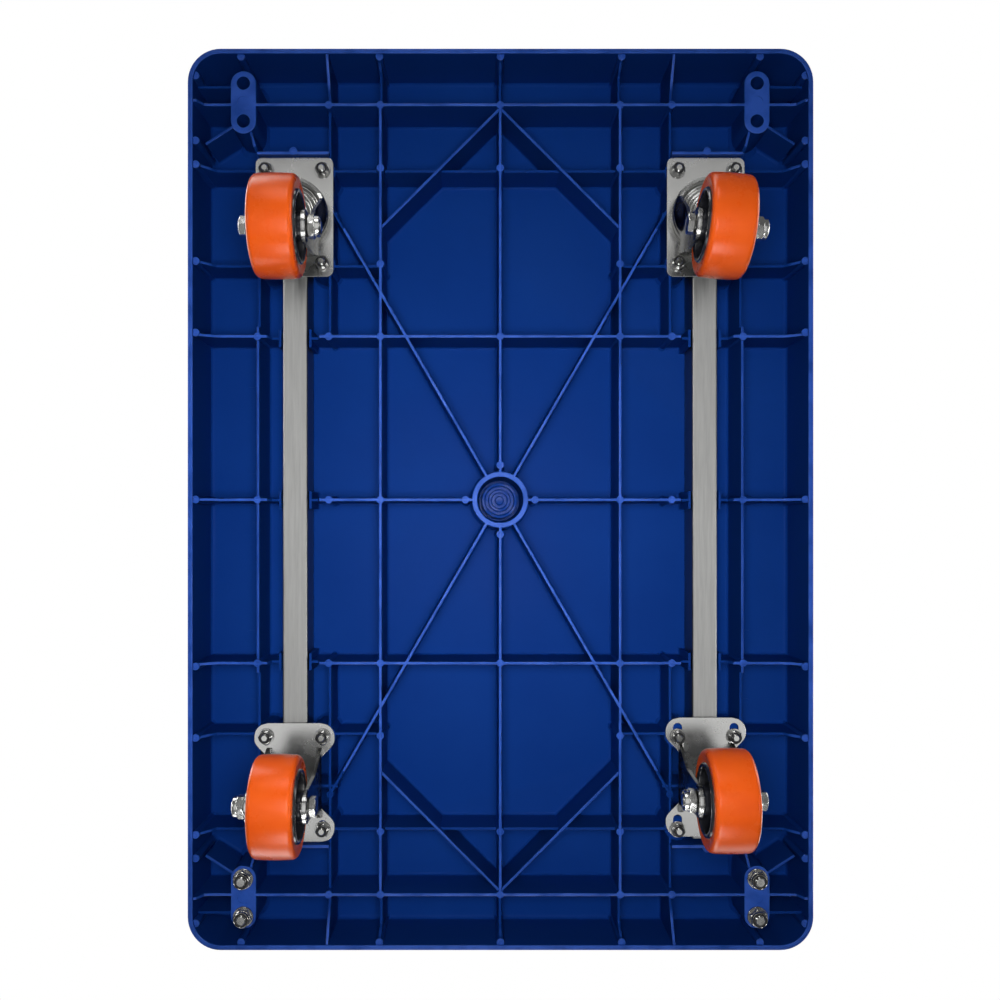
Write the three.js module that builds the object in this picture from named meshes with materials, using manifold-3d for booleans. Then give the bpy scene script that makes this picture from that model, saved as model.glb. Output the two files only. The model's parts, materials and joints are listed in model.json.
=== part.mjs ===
// Folding platform cart. A ribbed plastic deck stands on two swivel casters at its front end and two
// rigid casters at its rear end. Two steel rails run under the deck from caster plate to caster plate.
// A tubular push handle folds down onto the deck, and a foot pedal frees it.
//
// Millimetres, +Z up, +Y towards the front (swivel caster) end, +X to the right of a person who pushes.
// The origin is on the ground, under the middle of the deck.

import * as THREE from 'three';
import { mergeVertices } from 'three/addons/utils/BufferGeometryUtils.js';
import Module from 'manifold-3d';

const wasm = await Module();
wasm.setup();

// ---- Driving dimensions -------------------------------------------------------------------------

const GAP = 0.3;                    // clearance between pieces that touch
const SIDES = { left: -1, right: 1 };

// Deck
const DECK_WIDTH = 490;
const DECK_LENGTH = 706;
const DECK_CORNER = 26;
const DECK_TOP_Z = 149;
const CEILING_Z = 145;              // underside of the top plate
const RIM_Z = 92;                   // lower edge of the outer wall
const WALL = 4;
const RIB = 2.6;
const RIB_Z = 102;                  // lower edge of the main ribs
const SEAT_Z = 110;                 // lower edge of the ribs that the caster plates bear on
const RIB_RAMP = 16;                // length over which a rib drops to the rim where it meets the wall

// Rib grid, as distances from the middle of the deck
const SPINE_X = 95;
const INNER_SEAT_X = 136;
const OUTER_SEAT_X = 192.5;
const CROSS_Y = 129.5;
const SEAT_NEAR_Y = 187;
const SEAT_FAR_Y = 263;
const RAIL_STOP_Y = 273;
const END_Y = 313;

// Centre boss
const HUB_RING_OUTER = 22.3;
const HUB_RING_INNER = 18.2;

// Handle bosses, one near each corner
const BOSS_X = 203.5;
const BOSS_Y = 315;
const BOSS_WIDTH = 20.2;
const BOSS_LENGTH = 49.5;
const BOSS_BOLT_PITCH = 30;
const BOSS_PILOT_RADIUS = 5.25;     // blind hole in the two front bosses, which hold nothing
const BOSS_PILOT_DEPTH = 30;

// Rails
const RAIL_X = 164;
const RAIL_WIDTH = 19;
const RAIL_HEIGHT = 32;
const RAIL_WALL = 1.5;
const RAIL_LENGTH = 542;
const CHANNEL = 21.5;               // gap that the cross ribs leave for a rail
const TAB = 14;                     // length of the tab that ends a cross rib beside a rail

// Casters
const CASTER_Y = 225.5;
const BOLT_X = 22.5;                // half the bolt pattern across the cart
const BOLT_Y = 37;                  // half the bolt pattern along the cart
const PLATE_LENGTH = 95;
const PLATE_THICK = 2.5;
const SWIVEL_PLATE_WIDTH = 62;
const RIGID_PLATE_WIDTH = 64;
const WHEEL_RADIUS = 37.5;
const WHEEL_WIDTH = 33;
const HUB_RADIUS = 26.7;
const AXLE_RADIUS = 5;
const TRAIL = 28;
const EYE_RADIUS = 12.5;            // rounded end of a leg around the axle
const SWIVEL_LEG_INNER = 18.5;
const RIGID_LEG_INNER = 19.5;
const LEG_THICK = 2.5;
const CROWN_RADIUS = 28;
const CROWN_TOP_Z = 99.6;
const SWIVEL_TURN = { left: 4.4, right: 0 };   // degrees each swivel caster stands turned
const RIGID_SHIFT = { left: 4.5, right: 0 };   // how far each rigid caster sits forward in its slots

// Handle and its hinges
const TUBE_RADIUS = 12.5;
const TUBE_WALL = 1.2;
const PIVOT_Z = 177;
const HANDLE_LENGTH = 650;          // pivot to the middle of the grip bar
const HANDLE_TAIL = 15;             // tube below the pivot
const HANDLE_BEND = 60;
const HANDLE_LEAN = 1.5;            // degrees outward from upright
const CROSSBAR_RADIUS = 10;
const CROSSBAR_UP = 150;
const GRIP_RADIUS = 16;
const GRIP_HALF = 110;
const HINGE_SHEET = 2.5;
const HINGE_INNER = 13.2;           // inside face of a cheek, from the middle of the tube
const PEDAL_Y = -343;
const PEDAL_Z = 165;
const PEDAL_ROD_RADIUS = 4;

const seatPlateTop = SEAT_Z - GAP;
const seatPlateBottom = seatPlateTop - PLATE_THICK;
const deckBolts = [-BOSS_BOLT_PITCH / 2, BOSS_BOLT_PITCH / 2];
const degrees = Math.PI / 180;

// ---- Materials ----------------------------------------------------------------------------------

const plastic = (color, roughness) => new THREE.MeshStandardMaterial({ color, roughness, metalness: 0 });
const metal = (color, roughness) => new THREE.MeshStandardMaterial({ color, roughness, metalness: 1 });

const deckBlue = plastic('#0f3aa0', 0.42);
const railSteel = metal('#8f9498', 0.42);
const casterSteel = metal('#b9bdc2', 0.3);
const fastenerSteel = metal('#c9ccd0', 0.28);
const tyreOrange = plastic('#f25c14', 0.28);
const hubBlack = plastic('#151516', 0.35);
const handleSteel = metal('#a9adb2', 0.3);
const gripBlack = plastic('#1b1b1c', 0.6);
const springSteel = metal('#6f7378', 0.35);

// ---- Solids -------------------------------------------------------------------------------------

// A closed geometry as a solid that can be joined and cut.
function solid(geometry) {
  const bare = geometry.index ? geometry.toNonIndexed() : geometry.clone();
  bare.deleteAttribute('normal');
  bare.deleteAttribute('uv');
  const merged = mergeVertices(bare, 1e-4);
  const mesh = new wasm.Mesh({
    numProp: 3,
    vertProperties: merged.attributes.position.array,
    triVerts: new Uint32Array(merged.index.array),
  });
  return new wasm.Manifold(mesh);
}

const asSolid = (shape) => (shape.isBufferGeometry ? solid(shape) : shape);
const join = (...shapes) => shapes.map(asSolid).reduce((all, next) => all.add(next));
const cut = (body, ...tools) => tools.map(asSolid).reduce((rest, tool) => rest.subtract(tool), asSolid(body));

// A solid, or a geometry, as a flat-shaded geometry for a mesh.
function surface(shape) {
  if (shape.isBufferGeometry) return shape;
  const mesh = shape.getMesh();
  const geometry = new THREE.BufferGeometry();
  geometry.setAttribute('position', new THREE.BufferAttribute(mesh.vertProperties, 3));
  geometry.setIndex(new THREE.BufferAttribute(mesh.triVerts, 1));
  const flat = geometry.toNonIndexed();
  flat.computeVertexNormals();
  return flat;
}

function addPiece(group, name, shape, material) {
  const mesh = new THREE.Mesh(surface(shape), material);
  mesh.name = name;
  group.add(mesh);
}

// ---- Basic shapes -------------------------------------------------------------------------------

function block(x0, x1, y0, y1, z0, z1) {
  const box = new THREE.BoxGeometry(x1 - x0, y1 - y0, z1 - z0);
  return box.translate((x0 + x1) / 2, (y0 + y1) / 2, (z0 + z1) / 2);
}

// An upright round bar from z0 to z1.
function post(radius, z0, z1, x = 0, y = 0, sides = 16) {
  const bar = new THREE.CylinderGeometry(radius, radius, z1 - z0, sides);
  return bar.rotateX(Math.PI / 2).translate(x, y, (z0 + z1) / 2);
}

// A round bar along X from x0 to x1.
function bar(radius, x0, x1, y = 0, z = 0, sides = 16) {
  const rod = new THREE.CylinderGeometry(radius, radius, x1 - x0, sides);
  return rod.rotateZ(Math.PI / 2).translate((x0 + x1) / 2, y, z);
}

const hexRadius = (acrossFlats) => acrossFlats / Math.sqrt(3);

// A profile of [radius, height] points turned round the Z axis. A ring's profile closes on itself.
function turned(profile, sides) {
  const points = profile.map(([r, z]) => new THREE.Vector2(r, z));
  if (THREE.ShapeUtils.area(points) < 0) points.reverse();
  if (profile.every(([r]) => r > 0)) points.push(points[0].clone());
  return new THREE.LatheGeometry(points, sides).rotateX(Math.PI / 2);
}

// The same profile turned round the X axis: a bar, wheel or sleeve.
const turnedAcross = (profile, sides) => turned(profile, sides).rotateY(Math.PI / 2);

// An outline in the XY plane as a flat plate from z0 to z1.
function plate(outline, z0, z1, curveSegments = 3) {
  const options = { depth: z1 - z0, bevelEnabled: false, curveSegments };
  return new THREE.ExtrudeGeometry(outline, options).translate(0, 0, z0);
}

// An outline of (y, z) points as an upright sheet from x0 to x1.
function sheet(outline, x0, x1, curveSegments = 4) {
  const options = { depth: x1 - x0, bevelEnabled: false, curveSegments };
  const turn = new THREE.Matrix4().makeBasis(
    new THREE.Vector3(0, 1, 0), new THREE.Vector3(0, 0, 1), new THREE.Vector3(1, 0, 0));
  return new THREE.ExtrudeGeometry(outline, options).applyMatrix4(turn).translate(x0, 0, 0);
}

function polygon(points) {
  return new THREE.Shape(points.map(([u, v]) => new THREE.Vector2(u, v)));
}

function roundedRectangle(width, length, radius) {
  const x = width / 2 - radius;
  const y = length / 2 - radius;
  const outline = new THREE.Shape();
  outline.absarc(x, y, radius, 0, Math.PI / 2);
  outline.absarc(-x, y, radius, Math.PI / 2, Math.PI);
  outline.absarc(-x, -y, radius, Math.PI, 1.5 * Math.PI);
  outline.absarc(x, -y, radius, 1.5 * Math.PI, 2 * Math.PI);
  return outline;
}

// A slot outline along Y with round ends.
function obround(width, length, x, y) {
  const reach = (length - width) / 2;
  const outline = new THREE.Shape();
  outline.absarc(x, y + reach, width / 2, 0, Math.PI);
  outline.absarc(x, y - reach, width / 2, Math.PI, 2 * Math.PI);
  return outline;
}

// ---- Deck ---------------------------------------------------------------------------------------

// An upright rib from one point of the deck's plan to another. The edge lists its lower edge as
// [distance along the rib, z] points, and its root goes a little way into the top plate.
function rib([x0, y0], [x1, y1], edge) {
  const along = new THREE.Vector3(x1 - x0, y1 - y0, 0);
  const length = along.length();
  along.normalize();
  const root = CEILING_Z + 1.5;
  const outline = polygon([[0, root], ...edge(length), [length, root]]);
  const options = { depth: RIB, bevelEnabled: false };
  const up = new THREE.Vector3(0, 0, 1);
  const across = along.clone().cross(up);
  const turn = new THREE.Matrix4().makeBasis(along, up, across).setPosition(x0, y0, 0);
  return new THREE.ExtrudeGeometry(outline, options).translate(0, 0, -RIB / 2).applyMatrix4(turn);
}

// Lower edges: level, or level with one or both ends dropping to the rim at the outer wall.
const level = (z) => (length) => [[0, z], [length, z]];
const wallToWall = (z) => (length) =>
  [[0, RIM_Z + 1], [RIB_RAMP, z], [length - RIB_RAMP, z], [length, RIM_Z + 1]];
const fromWall = (z) => (length) => [[0, RIM_Z + 1], [RIB_RAMP, z], [length, z]];
const stepped = (z, change, end) => (length) =>
  [[0, z], [length - change, z], [length - change + 2, end], [length, end]];

const wallX = DECK_WIDTH / 2 - WALL / 2;
const wallY = DECK_LENGTH / 2 - WALL / 2;
const corners = [[-1, -1], [-1, 1], [1, -1], [1, 1]];

// The ribs that run along the cart.
function longRibs() {
  const ribs = [-SPINE_X, 0, SPINE_X].map((x) => rib([x, -wallY], [x, wallY], wallToWall(RIB_Z)));
  for (const side of [-1, 1]) {
    const x = side * OUTER_SEAT_X;
    ribs.push(rib([x, -RAIL_STOP_Y], [x, RAIL_STOP_Y], level(SEAT_Z)));
  }
  for (const [sx, sy] of corners) {
    const x = sx * INNER_SEAT_X;
    ribs.push(rib([x, sy * wallY], [x, sy * CROSS_Y], fromWall(SEAT_Z)));
  }
  return ribs;
}

// The ribs that run across the cart leave a channel for each rail.
function crossRibs() {
  const ribs = [];
  const nearEdge = RAIL_X - CHANNEL / 2;
  const farEdge = RAIL_X + CHANNEL / 2;
  for (const y of [-CROSS_Y, 0, CROSS_Y]) {
    ribs.push(rib([-nearEdge, y], [nearEdge, y], level(RIB_Z)));
    for (const side of [-1, 1]) {
      ribs.push(rib([side * wallX, y], [side * farEdge, y], fromWall(RIB_Z)));
      for (const x of [nearEdge - RIB / 2, farEdge + RIB / 2]) {
        ribs.push(rib([side * x, y - TAB / 2], [side * x, y + TAB / 2], level(RIB_Z)));
      }
    }
  }
  for (const end of [-1, 1]) {
    const far = end * SEAT_FAR_Y;
    ribs.push(rib([-nearEdge, far], [nearEdge, far], level(SEAT_Z)));
    ribs.push(rib([-wallX, end * END_Y], [wallX, end * END_Y], wallToWall(RIB_Z)));
  }
  for (const [sx, sy] of corners) {
    const near = sy * SEAT_NEAR_Y;
    const stop = sy * RAIL_STOP_Y;
    ribs.push(rib([sx * wallX, sy * SEAT_FAR_Y], [sx * farEdge, sy * SEAT_FAR_Y], fromWall(SEAT_Z)));
    ribs.push(rib([sx * wallX, near], [sx * farEdge, near], fromWall(SEAT_Z)));
    ribs.push(rib([sx * nearEdge, near], [sx * SPINE_X, near], level(SEAT_Z)));
    ribs.push(rib([sx * INNER_SEAT_X, stop], [sx * OUTER_SEAT_X, stop], level(SEAT_Z)));
  }
  return ribs;
}

// The slanting ribs: long rays from the centre boss, short braces at the ends, and corner braces.
function slantingRibs() {
  const ribs = [];
  const rayEndY = INNER_SEAT_X * Math.tan(60 * degrees);
  for (const [sx, sy] of corners) {
    const at = (x, y) => [sx * x, sy * y];
    const rayEdge = stepped(RIB_Z, 16, SEAT_Z);
    ribs.push(rib(at(10.2, 17.7), at(INNER_SEAT_X, rayEndY), rayEdge));
    ribs.push(rib(at(0, 310), at(SPINE_X, 215), level(RIB_Z)));
    ribs.push(rib(at(236, 281), at(BOSS_X + 4, 302), level(RIB_Z)));
    ribs.push(rib(at(BOSS_X - 3, 300), at(OUTER_SEAT_X, RAIL_STOP_Y), stepped(RIB_Z, 8, SEAT_Z)));
    ribs.push(rib(at(wallX, 329), at(BOSS_X + 6, 329), fromWall(RIB_Z)));
  }
  return ribs;
}

// Low ribs on the ceiling that the rails' upper faces bear on.
function railSaddles() {
  const saddles = [];
  const top = CEILING_Z + 1;
  const bottom = seatPlateTop + 2 * GAP + RAIL_HEIGHT + GAP;
  for (const side of [-1, 1]) {
    for (const y of [-SEAT_FAR_Y, -SEAT_NEAR_Y, -CROSS_Y, 0, CROSS_Y, SEAT_NEAR_Y, SEAT_FAR_Y]) {
      const x0 = side * RAIL_X - CHANNEL / 2 - 1;
      saddles.push(block(x0, x0 + CHANNEL + 2, y - RIB / 2, y + RIB / 2, bottom, top));
    }
  }
  return saddles;
}

// Centres of the bolts of one caster.
function casterBolts(side, end) {
  return corners.map(([sx, sy]) => [side * RAIL_X + sx * BOLT_X, end * CASTER_Y + sy * BOLT_Y]);
}

function makeDeck() {
  const inner = roundedRectangle(DECK_WIDTH - 2 * WALL, DECK_LENGTH - 2 * WALL, DECK_CORNER - WALL);
  const shell = cut(
    plate(roundedRectangle(DECK_WIDTH, DECK_LENGTH, DECK_CORNER), RIM_Z, DECK_TOP_Z),
    plate(inner, RIM_Z - 1, CEILING_Z));

  const added = [...longRibs(), ...crossRibs(), ...slantingRibs(), ...railSaddles()];
  added.push(post(HUB_RING_OUTER, RIB_Z, CEILING_Z + 1, 0, 0, 20));
  const removed = [];
  for (const [sx, sy] of corners) {
    added.push(plate(obround(BOSS_WIDTH, BOSS_LENGTH, sx * BOSS_X, sy * BOSS_Y), RIB_Z, CEILING_Z + 1));
    for (const [x, y] of casterBolts(sx, sy)) {
      added.push(post(10, SEAT_Z, CEILING_Z + 1, x, y, 10));
      removed.push(post(3.5, SEAT_Z - 1, DECK_TOP_Z + 1, x, y, 8));
      removed.push(post(7.4, DECK_TOP_Z - 3.8, DECK_TOP_Z + 1, x, y, 8));
    }
    for (const step of deckBolts) {
      const y = sy * BOSS_Y + step;
      const through = sy < 0;
      const radius = through ? 4.5 : BOSS_PILOT_RADIUS;
      const top = through ? DECK_TOP_Z + 1 : RIB_Z + BOSS_PILOT_DEPTH;
      removed.push(post(radius, RIB_Z - 1, top, sx * BOSS_X, y, 10));
    }
  }
  removed.push(post(HUB_RING_INNER, RIB_Z - 1, CEILING_Z - 3, 0, 0, 20));
  return cut(join(shell, ...added, post(11, RIB_Z + 22, CEILING_Z, 0, 0, 12)), ...removed);
}

// ---- Rails --------------------------------------------------------------------------------------

function makeRail(side) {
  const x = side * RAIL_X;
  const z0 = seatPlateTop + 2 * GAP;
  const z1 = z0 + RAIL_HEIGHT;
  const half = RAIL_WIDTH / 2;
  const end = RAIL_LENGTH / 2;
  return cut(
    block(x - half, x + half, -end, end, z0, z1),
    block(x - half + RAIL_WALL, x + half - RAIL_WALL, -end - 1, end + 1, z0 + RAIL_WALL, z1 - RAIL_WALL));
}

// ---- Casters ------------------------------------------------------------------------------------

// A wheel centred on its axle, which lies along X.
function addWheel(group, label) {
  const half = WHEEL_WIDTH / 2;
  const tyre = turnedAcross([
    [HUB_RADIUS + GAP, -half + 1], [33.5, -half], [36.4, -half + 2.4], [WHEEL_RADIUS, -half + 7],
    [WHEEL_RADIUS, half - 7], [36.4, half - 2.4], [33.5, half], [HUB_RADIUS + GAP, half - 1],
  ], 28);
  const bore = AXLE_RADIUS + GAP;
  const bossHalf = SWIVEL_LEG_INNER - 0.4;
  const hub = turnedAcross([
    [bore, -bossHalf], [11, -bossHalf], [11, -4], [23, -4], [24, -15.2], [HUB_RADIUS, -15.2],
    [HUB_RADIUS, 15.2], [24, 15.2], [23, 4], [11, 4], [11, bossHalf], [bore, bossHalf],
  ], 20);
  addPiece(group, `tyre_${label}`, tyre, tyreOrange);
  addPiece(group, `wheel_hub_${label}`, hub, hubBlack);
}

// The axle bolt, with its head on one side of the legs, and its nut on the other.
function addAxle(group, label, legOuter, headSide) {
  const seat = legOuter + GAP;
  const tip = legOuter + 11;
  const shank = headSide > 0 ? bar(AXLE_RADIUS, -tip, seat + 3) : bar(AXLE_RADIUS, -seat - 3, tip);
  const headStart = headSide > 0 ? seat : -seat - 6;
  const nutStart = headSide > 0 ? -seat - 9 : seat;
  const head = bar(hexRadius(16), headStart, headStart + 6, 0, 0, 6);
  const nut = cut(
    bar(hexRadius(16), nutStart, nutStart + 9, 0, 0, 6),
    bar(AXLE_RADIUS + GAP, nutStart - 1, nutStart + 10));
  addPiece(group, `axle_bolt_${label}`, join(shank, head), fastenerSteel);
  addPiece(group, `axle_nut_${label}`, nut, fastenerSteel);
}

// One leg of a fork or bracket: wide at the top, tapering to a round eye about the axle.
function leg(x0, x1, axleY, top) {
  const outline = new THREE.Shape();
  outline.moveTo(top.front, top.z);
  outline.lineTo(top.front + top.flare, top.z - 12);
  outline.absarc(axleY, WHEEL_RADIUS, EYE_RADIUS, 18 * degrees, -198 * degrees, true);
  outline.lineTo(top.back - top.flare, top.z - 12);
  outline.lineTo(top.back, top.z);
  const blank = sheet(outline, x0, x1);
  return cut(blank, bar(AXLE_RADIUS + GAP, x0 - 1, x1 + 1, axleY, WHEEL_RADIUS));
}

function legPair(inner, axleY, top) {
  return [leg(-inner - LEG_THICK, -inner, axleY, top), leg(inner, inner + LEG_THICK, axleY, top)];
}

// The deck plate of a swivel caster carries the upper ball race, and the kingpin's head is sunk in it.
function makeSwivelPlate() {
  const blank = plate(roundedRectangle(SWIVEL_PLATE_WIDTH, PLATE_LENGTH, 5.5), seatPlateBottom, seatPlateTop);
  const race = turned([[14, 104.2], [24, 104.2], [24, 108], [14, 108]], 18);
  const holes = corners.map(([sx, sy]) =>
    plate(obround(7, 10, sx * BOLT_X, sy * BOLT_Y), seatPlateBottom - 1, seatPlateTop + 1));
  return cut(join(blank, race), ...holes, post(8.8, 104, 111, 0, 0, 14));
}

function makeKingpin() {
  return turned([
    [0, 92.6], [7, 92.6], [8, 94], [8, 96.6], [5, 96.6], [5, 107.4], [8.2, 107.4], [8.2, 109.5], [0, 109.5],
  ], 12);
}

// The balls of the swivel bearing, drawn with their cage as one ring.
function makeBallRing() {
  const section = [0, 1, 2, 3, 4, 5].map((i) =>
    [20.5 + 2 * Math.cos(i * 60 * degrees), 101.9 + 2 * Math.sin(i * 60 * degrees)]);
  return turned(section, 18);
}

// The fork hangs from the kingpin, and its axle trails behind.
function makeFork() {
  const crown = turned([
    [5.4, 97.1], [CROWN_RADIUS, 97.1], [CROWN_RADIUS, 104.6], [CROWN_RADIUS - 2, 104.6],
    [CROWN_RADIUS - 2, CROWN_TOP_Z], [5.4, CROWN_TOP_Z],
  ], 20);
  const top = { front: 18, back: -20, z: CROWN_TOP_Z, flare: 4 };
  return join(crown, ...legPair(SWIVEL_LEG_INNER, -TRAIL, top));
}

// A rigid caster's bracket is one pressing: a slotted plate with a leg folded down on each side.
function makeRigidBracket() {
  const blank = plate(roundedRectangle(RIGID_PLATE_WIDTH, PLATE_LENGTH, 11), seatPlateBottom, seatPlateTop);
  const slots = corners.map(([sx, sy]) =>
    plate(obround(7.2, 16.5, sx * BOLT_X, sy * (BOLT_Y - 0.5)), seatPlateBottom - 1, seatPlateTop + 1));
  const top = { front: 26, back: -26, z: seatPlateBottom + 1, flare: 0 };
  return join(cut(blank, ...slots), ...legPair(RIGID_LEG_INNER, 0, top));
}

function addSwivelCaster(cart, sideName, side) {
  const label = `front_${sideName}`;
  const place = new THREE.Group();
  place.position.set(side * RAIL_X, CASTER_Y, 0);
  addPiece(place, `swivel_plate_${sideName}`, makeSwivelPlate(), casterSteel);
  addPiece(place, `kingpin_${sideName}`, makeKingpin(), fastenerSteel);
  addPiece(place, `ball_ring_${sideName}`, makeBallRing(), springSteel);

  const turning = new THREE.Group();
  turning.rotation.z = SWIVEL_TURN[sideName] * degrees;
  addPiece(turning, `fork_${sideName}`, makeFork(), casterSteel);
  const axle = new THREE.Group();
  axle.position.set(0, -TRAIL, WHEEL_RADIUS);
  addWheel(axle, label);
  addAxle(axle, label, SWIVEL_LEG_INNER + LEG_THICK, 1);
  turning.add(axle);
  place.add(turning);
  cart.add(place);
}

function addRigidCaster(cart, sideName, side) {
  const label = `rear_${sideName}`;
  const place = new THREE.Group();
  place.position.set(side * RAIL_X, RIGID_SHIFT[sideName] - CASTER_Y, 0);
  addPiece(place, `rigid_bracket_${sideName}`, makeRigidBracket(), casterSteel);
  const axle = new THREE.Group();
  axle.position.set(0, 0, WHEEL_RADIUS);
  addWheel(axle, label);
  addAxle(axle, label, RIGID_LEG_INNER + LEG_THICK, -1);
  place.add(axle);
  cart.add(place);
}

// ---- Fasteners ----------------------------------------------------------------------------------

// A bolt hangs down through the deck from a head at headZ. Its nut is screwed up to nutZ.
function makeBolt({
  x, y, radius, headZ, headHeight, headRadius, headSides, nutZ, nutHeight, nutAcross, tipZ,
}) {
  return join(
    post(radius, tipZ, headZ + headHeight / 2, x, y, 6),
    post(headRadius, headZ, headZ + headHeight, x, y, headSides),
    post(hexRadius(nutAcross), nutZ - nutHeight, nutZ, x, y, 6));
}

// Round-head bolts sunk in the deck's top hold the caster plates.
function makeCasterBolt(x, y) {
  return makeBolt({
    x, y, radius: 3, headZ: DECK_TOP_Z - 3.5, headHeight: 3, headRadius: 6.5, headSides: 8,
    nutZ: seatPlateBottom - GAP, nutHeight: 6.4, nutAcross: 10, tipZ: 99,
  });
}

// Hex bolts through the rear bosses hold the hinge brackets.
function makeHandleBolt(x, y) {
  const headZ = DECK_TOP_Z + GAP + HINGE_SHEET + GAP;
  const washer = post(8, RIB_Z - GAP - 1.4, RIB_Z - GAP, x, y, 10);
  return join(washer, makeBolt({
    x, y, radius: 4, headZ, headHeight: 5.3, headRadius: hexRadius(13), headSides: 6,
    nutZ: RIB_Z - GAP - 1.4, nutHeight: 7.6, nutAcross: 13, tipZ: 91.8,
  }));
}

function addFasteners(cart) {
  const ends = { rear: -1, front: 1 };
  for (const [endName, end] of Object.entries(ends)) {
    for (const [sideName, side] of Object.entries(SIDES)) {
      casterBolts(side, end).forEach(([x, y], i) => {
        addPiece(cart, `caster_bolt_${endName}_${sideName}_${i + 1}`, makeCasterBolt(x, y), fastenerSteel);
      });
    }
  }
  for (const [sideName, side] of Object.entries(SIDES)) {
    deckBolts.forEach((step, i) => {
      const name = `handle_bolt_${sideName}_${i + 1}`;
      addPiece(cart, name, makeHandleBolt(side * BOSS_X, step - BOSS_Y), fastenerSteel);
    });
  }
}

// ---- Hinges, handle and pedal -------------------------------------------------------------------

// A pressed hinge bracket: a base on the deck, two cheeks, and a web that stops the upright handle.
function makeHinge(side) {
  const x = side * BOSS_X;
  const z0 = DECK_TOP_Z + GAP;
  const outer = HINGE_INNER + HINGE_SHEET;
  const outline = new THREE.Shape();
  outline.moveTo(-287, z0);
  outline.lineTo(-287, 160);
  outline.absarc(-BOSS_Y, PIVOT_Z, 13, 30 * degrees, 115 * degrees);
  outline.absarc(PEDAL_Y, PEDAL_Z, 7.5, 115 * degrees, 190 * degrees);
  outline.lineTo(-349, z0);
  const cheeks = [x - outer, x + HINGE_INNER].map((x0) => sheet(outline, x0, x0 + HINGE_SHEET));
  const base = block(x - outer, x + outer, -349, -287, z0, z0 + HINGE_SHEET);
  const stop = block(x - outer, x + outer, -301.4, -298.8, 158.2, 163.4);
  const holes = deckBolts.map((step) => post(4.4, z0 - 1, z0 + HINGE_SHEET + 1, x, step - BOSS_Y, 12));
  return cut(join(base, stop, ...cheeks), ...holes,
    bar(4.4, x - 20, x + 20, -BOSS_Y, PIVOT_Z, 12),
    bar(PEDAL_ROD_RADIUS + 0.4, x - 20, x + 20, PEDAL_Y, PEDAL_Z, 12));
}

function makePivotBolt(side) {
  const x = side * BOSS_X;
  const seat = HINGE_INNER + HINGE_SHEET + GAP;
  const span = (from, to) => [x + side * from, x + side * to].sort((a, b) => a - b);
  return join(
    bar(4, ...span(-seat - 8, seat + 2), -BOSS_Y, PIVOT_Z, 12),
    bar(hexRadius(13), ...span(seat, seat + 5.3), -BOSS_Y, PIVOT_Z, 6),
    bar(hexRadius(13), ...span(-seat - 7, -seat), -BOSS_Y, PIVOT_Z, 6));
}

// A quarter circle in the XZ plane, from the top of a leg to the grip bar.
class Bend extends THREE.Curve {
  constructor(side) {
    super();
    this.side = side;
  }

  getPoint(t, target = new THREE.Vector3()) {
    const angle = (1 - t) * 90 * degrees;
    const x = BOSS_X - HANDLE_BEND + HANDLE_BEND * Math.sin(angle);
    const z = HANDLE_LENGTH - HANDLE_BEND + HANDLE_BEND * Math.cos(angle);
    return target.set(this.side * x, 0, z);
  }
}

// The handle's round bar of a given radius: two legs, two bends and the grip bar. Its pivot is at the origin.
function handleBar(radius, tail, sides) {
  const shapes = [bar(radius, HANDLE_BEND - BOSS_X - 1, BOSS_X - HANDLE_BEND + 1, 0, HANDLE_LENGTH, sides)];
  const section = new THREE.Shape();
  section.absarc(0, 0, radius, 0, 2 * Math.PI);
  for (const side of [-1, 1]) {
    shapes.push(post(radius, -tail, HANDLE_LENGTH - HANDLE_BEND + 1, side * BOSS_X, 0, sides));
    const options = { steps: 5, bevelEnabled: false, curveSegments: sides / 2, extrudePath: new Bend(side) };
    shapes.push(new THREE.ExtrudeGeometry(section, options));
  }
  return join(...shapes);
}

function makeHandleTube() {
  return cut(
    handleBar(TUBE_RADIUS, HANDLE_TAIL, 14), handleBar(TUBE_RADIUS - TUBE_WALL, HANDLE_TAIL + 5, 10),
    bar(4.4, -BOSS_X - 20, -BOSS_X + 20, 0, 0, 10), bar(4.4, BOSS_X - 20, BOSS_X + 20, 0, 0, 10));
}

function makeCrossbar() {
  const notch = TUBE_RADIUS + GAP;
  return cut(
    bar(CROSSBAR_RADIUS, -BOSS_X, BOSS_X, 0, CROSSBAR_UP),
    bar(CROSSBAR_RADIUS - TUBE_WALL, -BOSS_X - 1, BOSS_X + 1, 0, CROSSBAR_UP, 12),
    post(notch, CROSSBAR_UP - 20, CROSSBAR_UP + 20, -BOSS_X),
    post(notch, CROSSBAR_UP - 20, CROSSBAR_UP + 20, BOSS_X));
}

function makeGrip() {
  const inner = TUBE_RADIUS + GAP;
  const sleeve = turnedAcross([
    [inner, -GRIP_HALF], [GRIP_RADIUS - 1.5, -GRIP_HALF], [GRIP_RADIUS, -GRIP_HALF + 3],
    [GRIP_RADIUS, GRIP_HALF - 3], [GRIP_RADIUS - 1.5, GRIP_HALF], [inner, GRIP_HALF],
  ], 20);
  return sleeve.translate(0, 0, HANDLE_LENGTH);
}

function addHandle(cart) {
  const handle = new THREE.Group();
  handle.position.set(0, -BOSS_Y, PIVOT_Z);
  handle.rotation.x = HANDLE_LEAN * degrees;
  addPiece(handle, 'handle_tube', makeHandleTube(), handleSteel);
  addPiece(handle, 'handle_crossbar', makeCrossbar(), handleSteel);
  addPiece(handle, 'handle_grip', makeGrip(), gripBlack);
  cart.add(handle);
}

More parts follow.
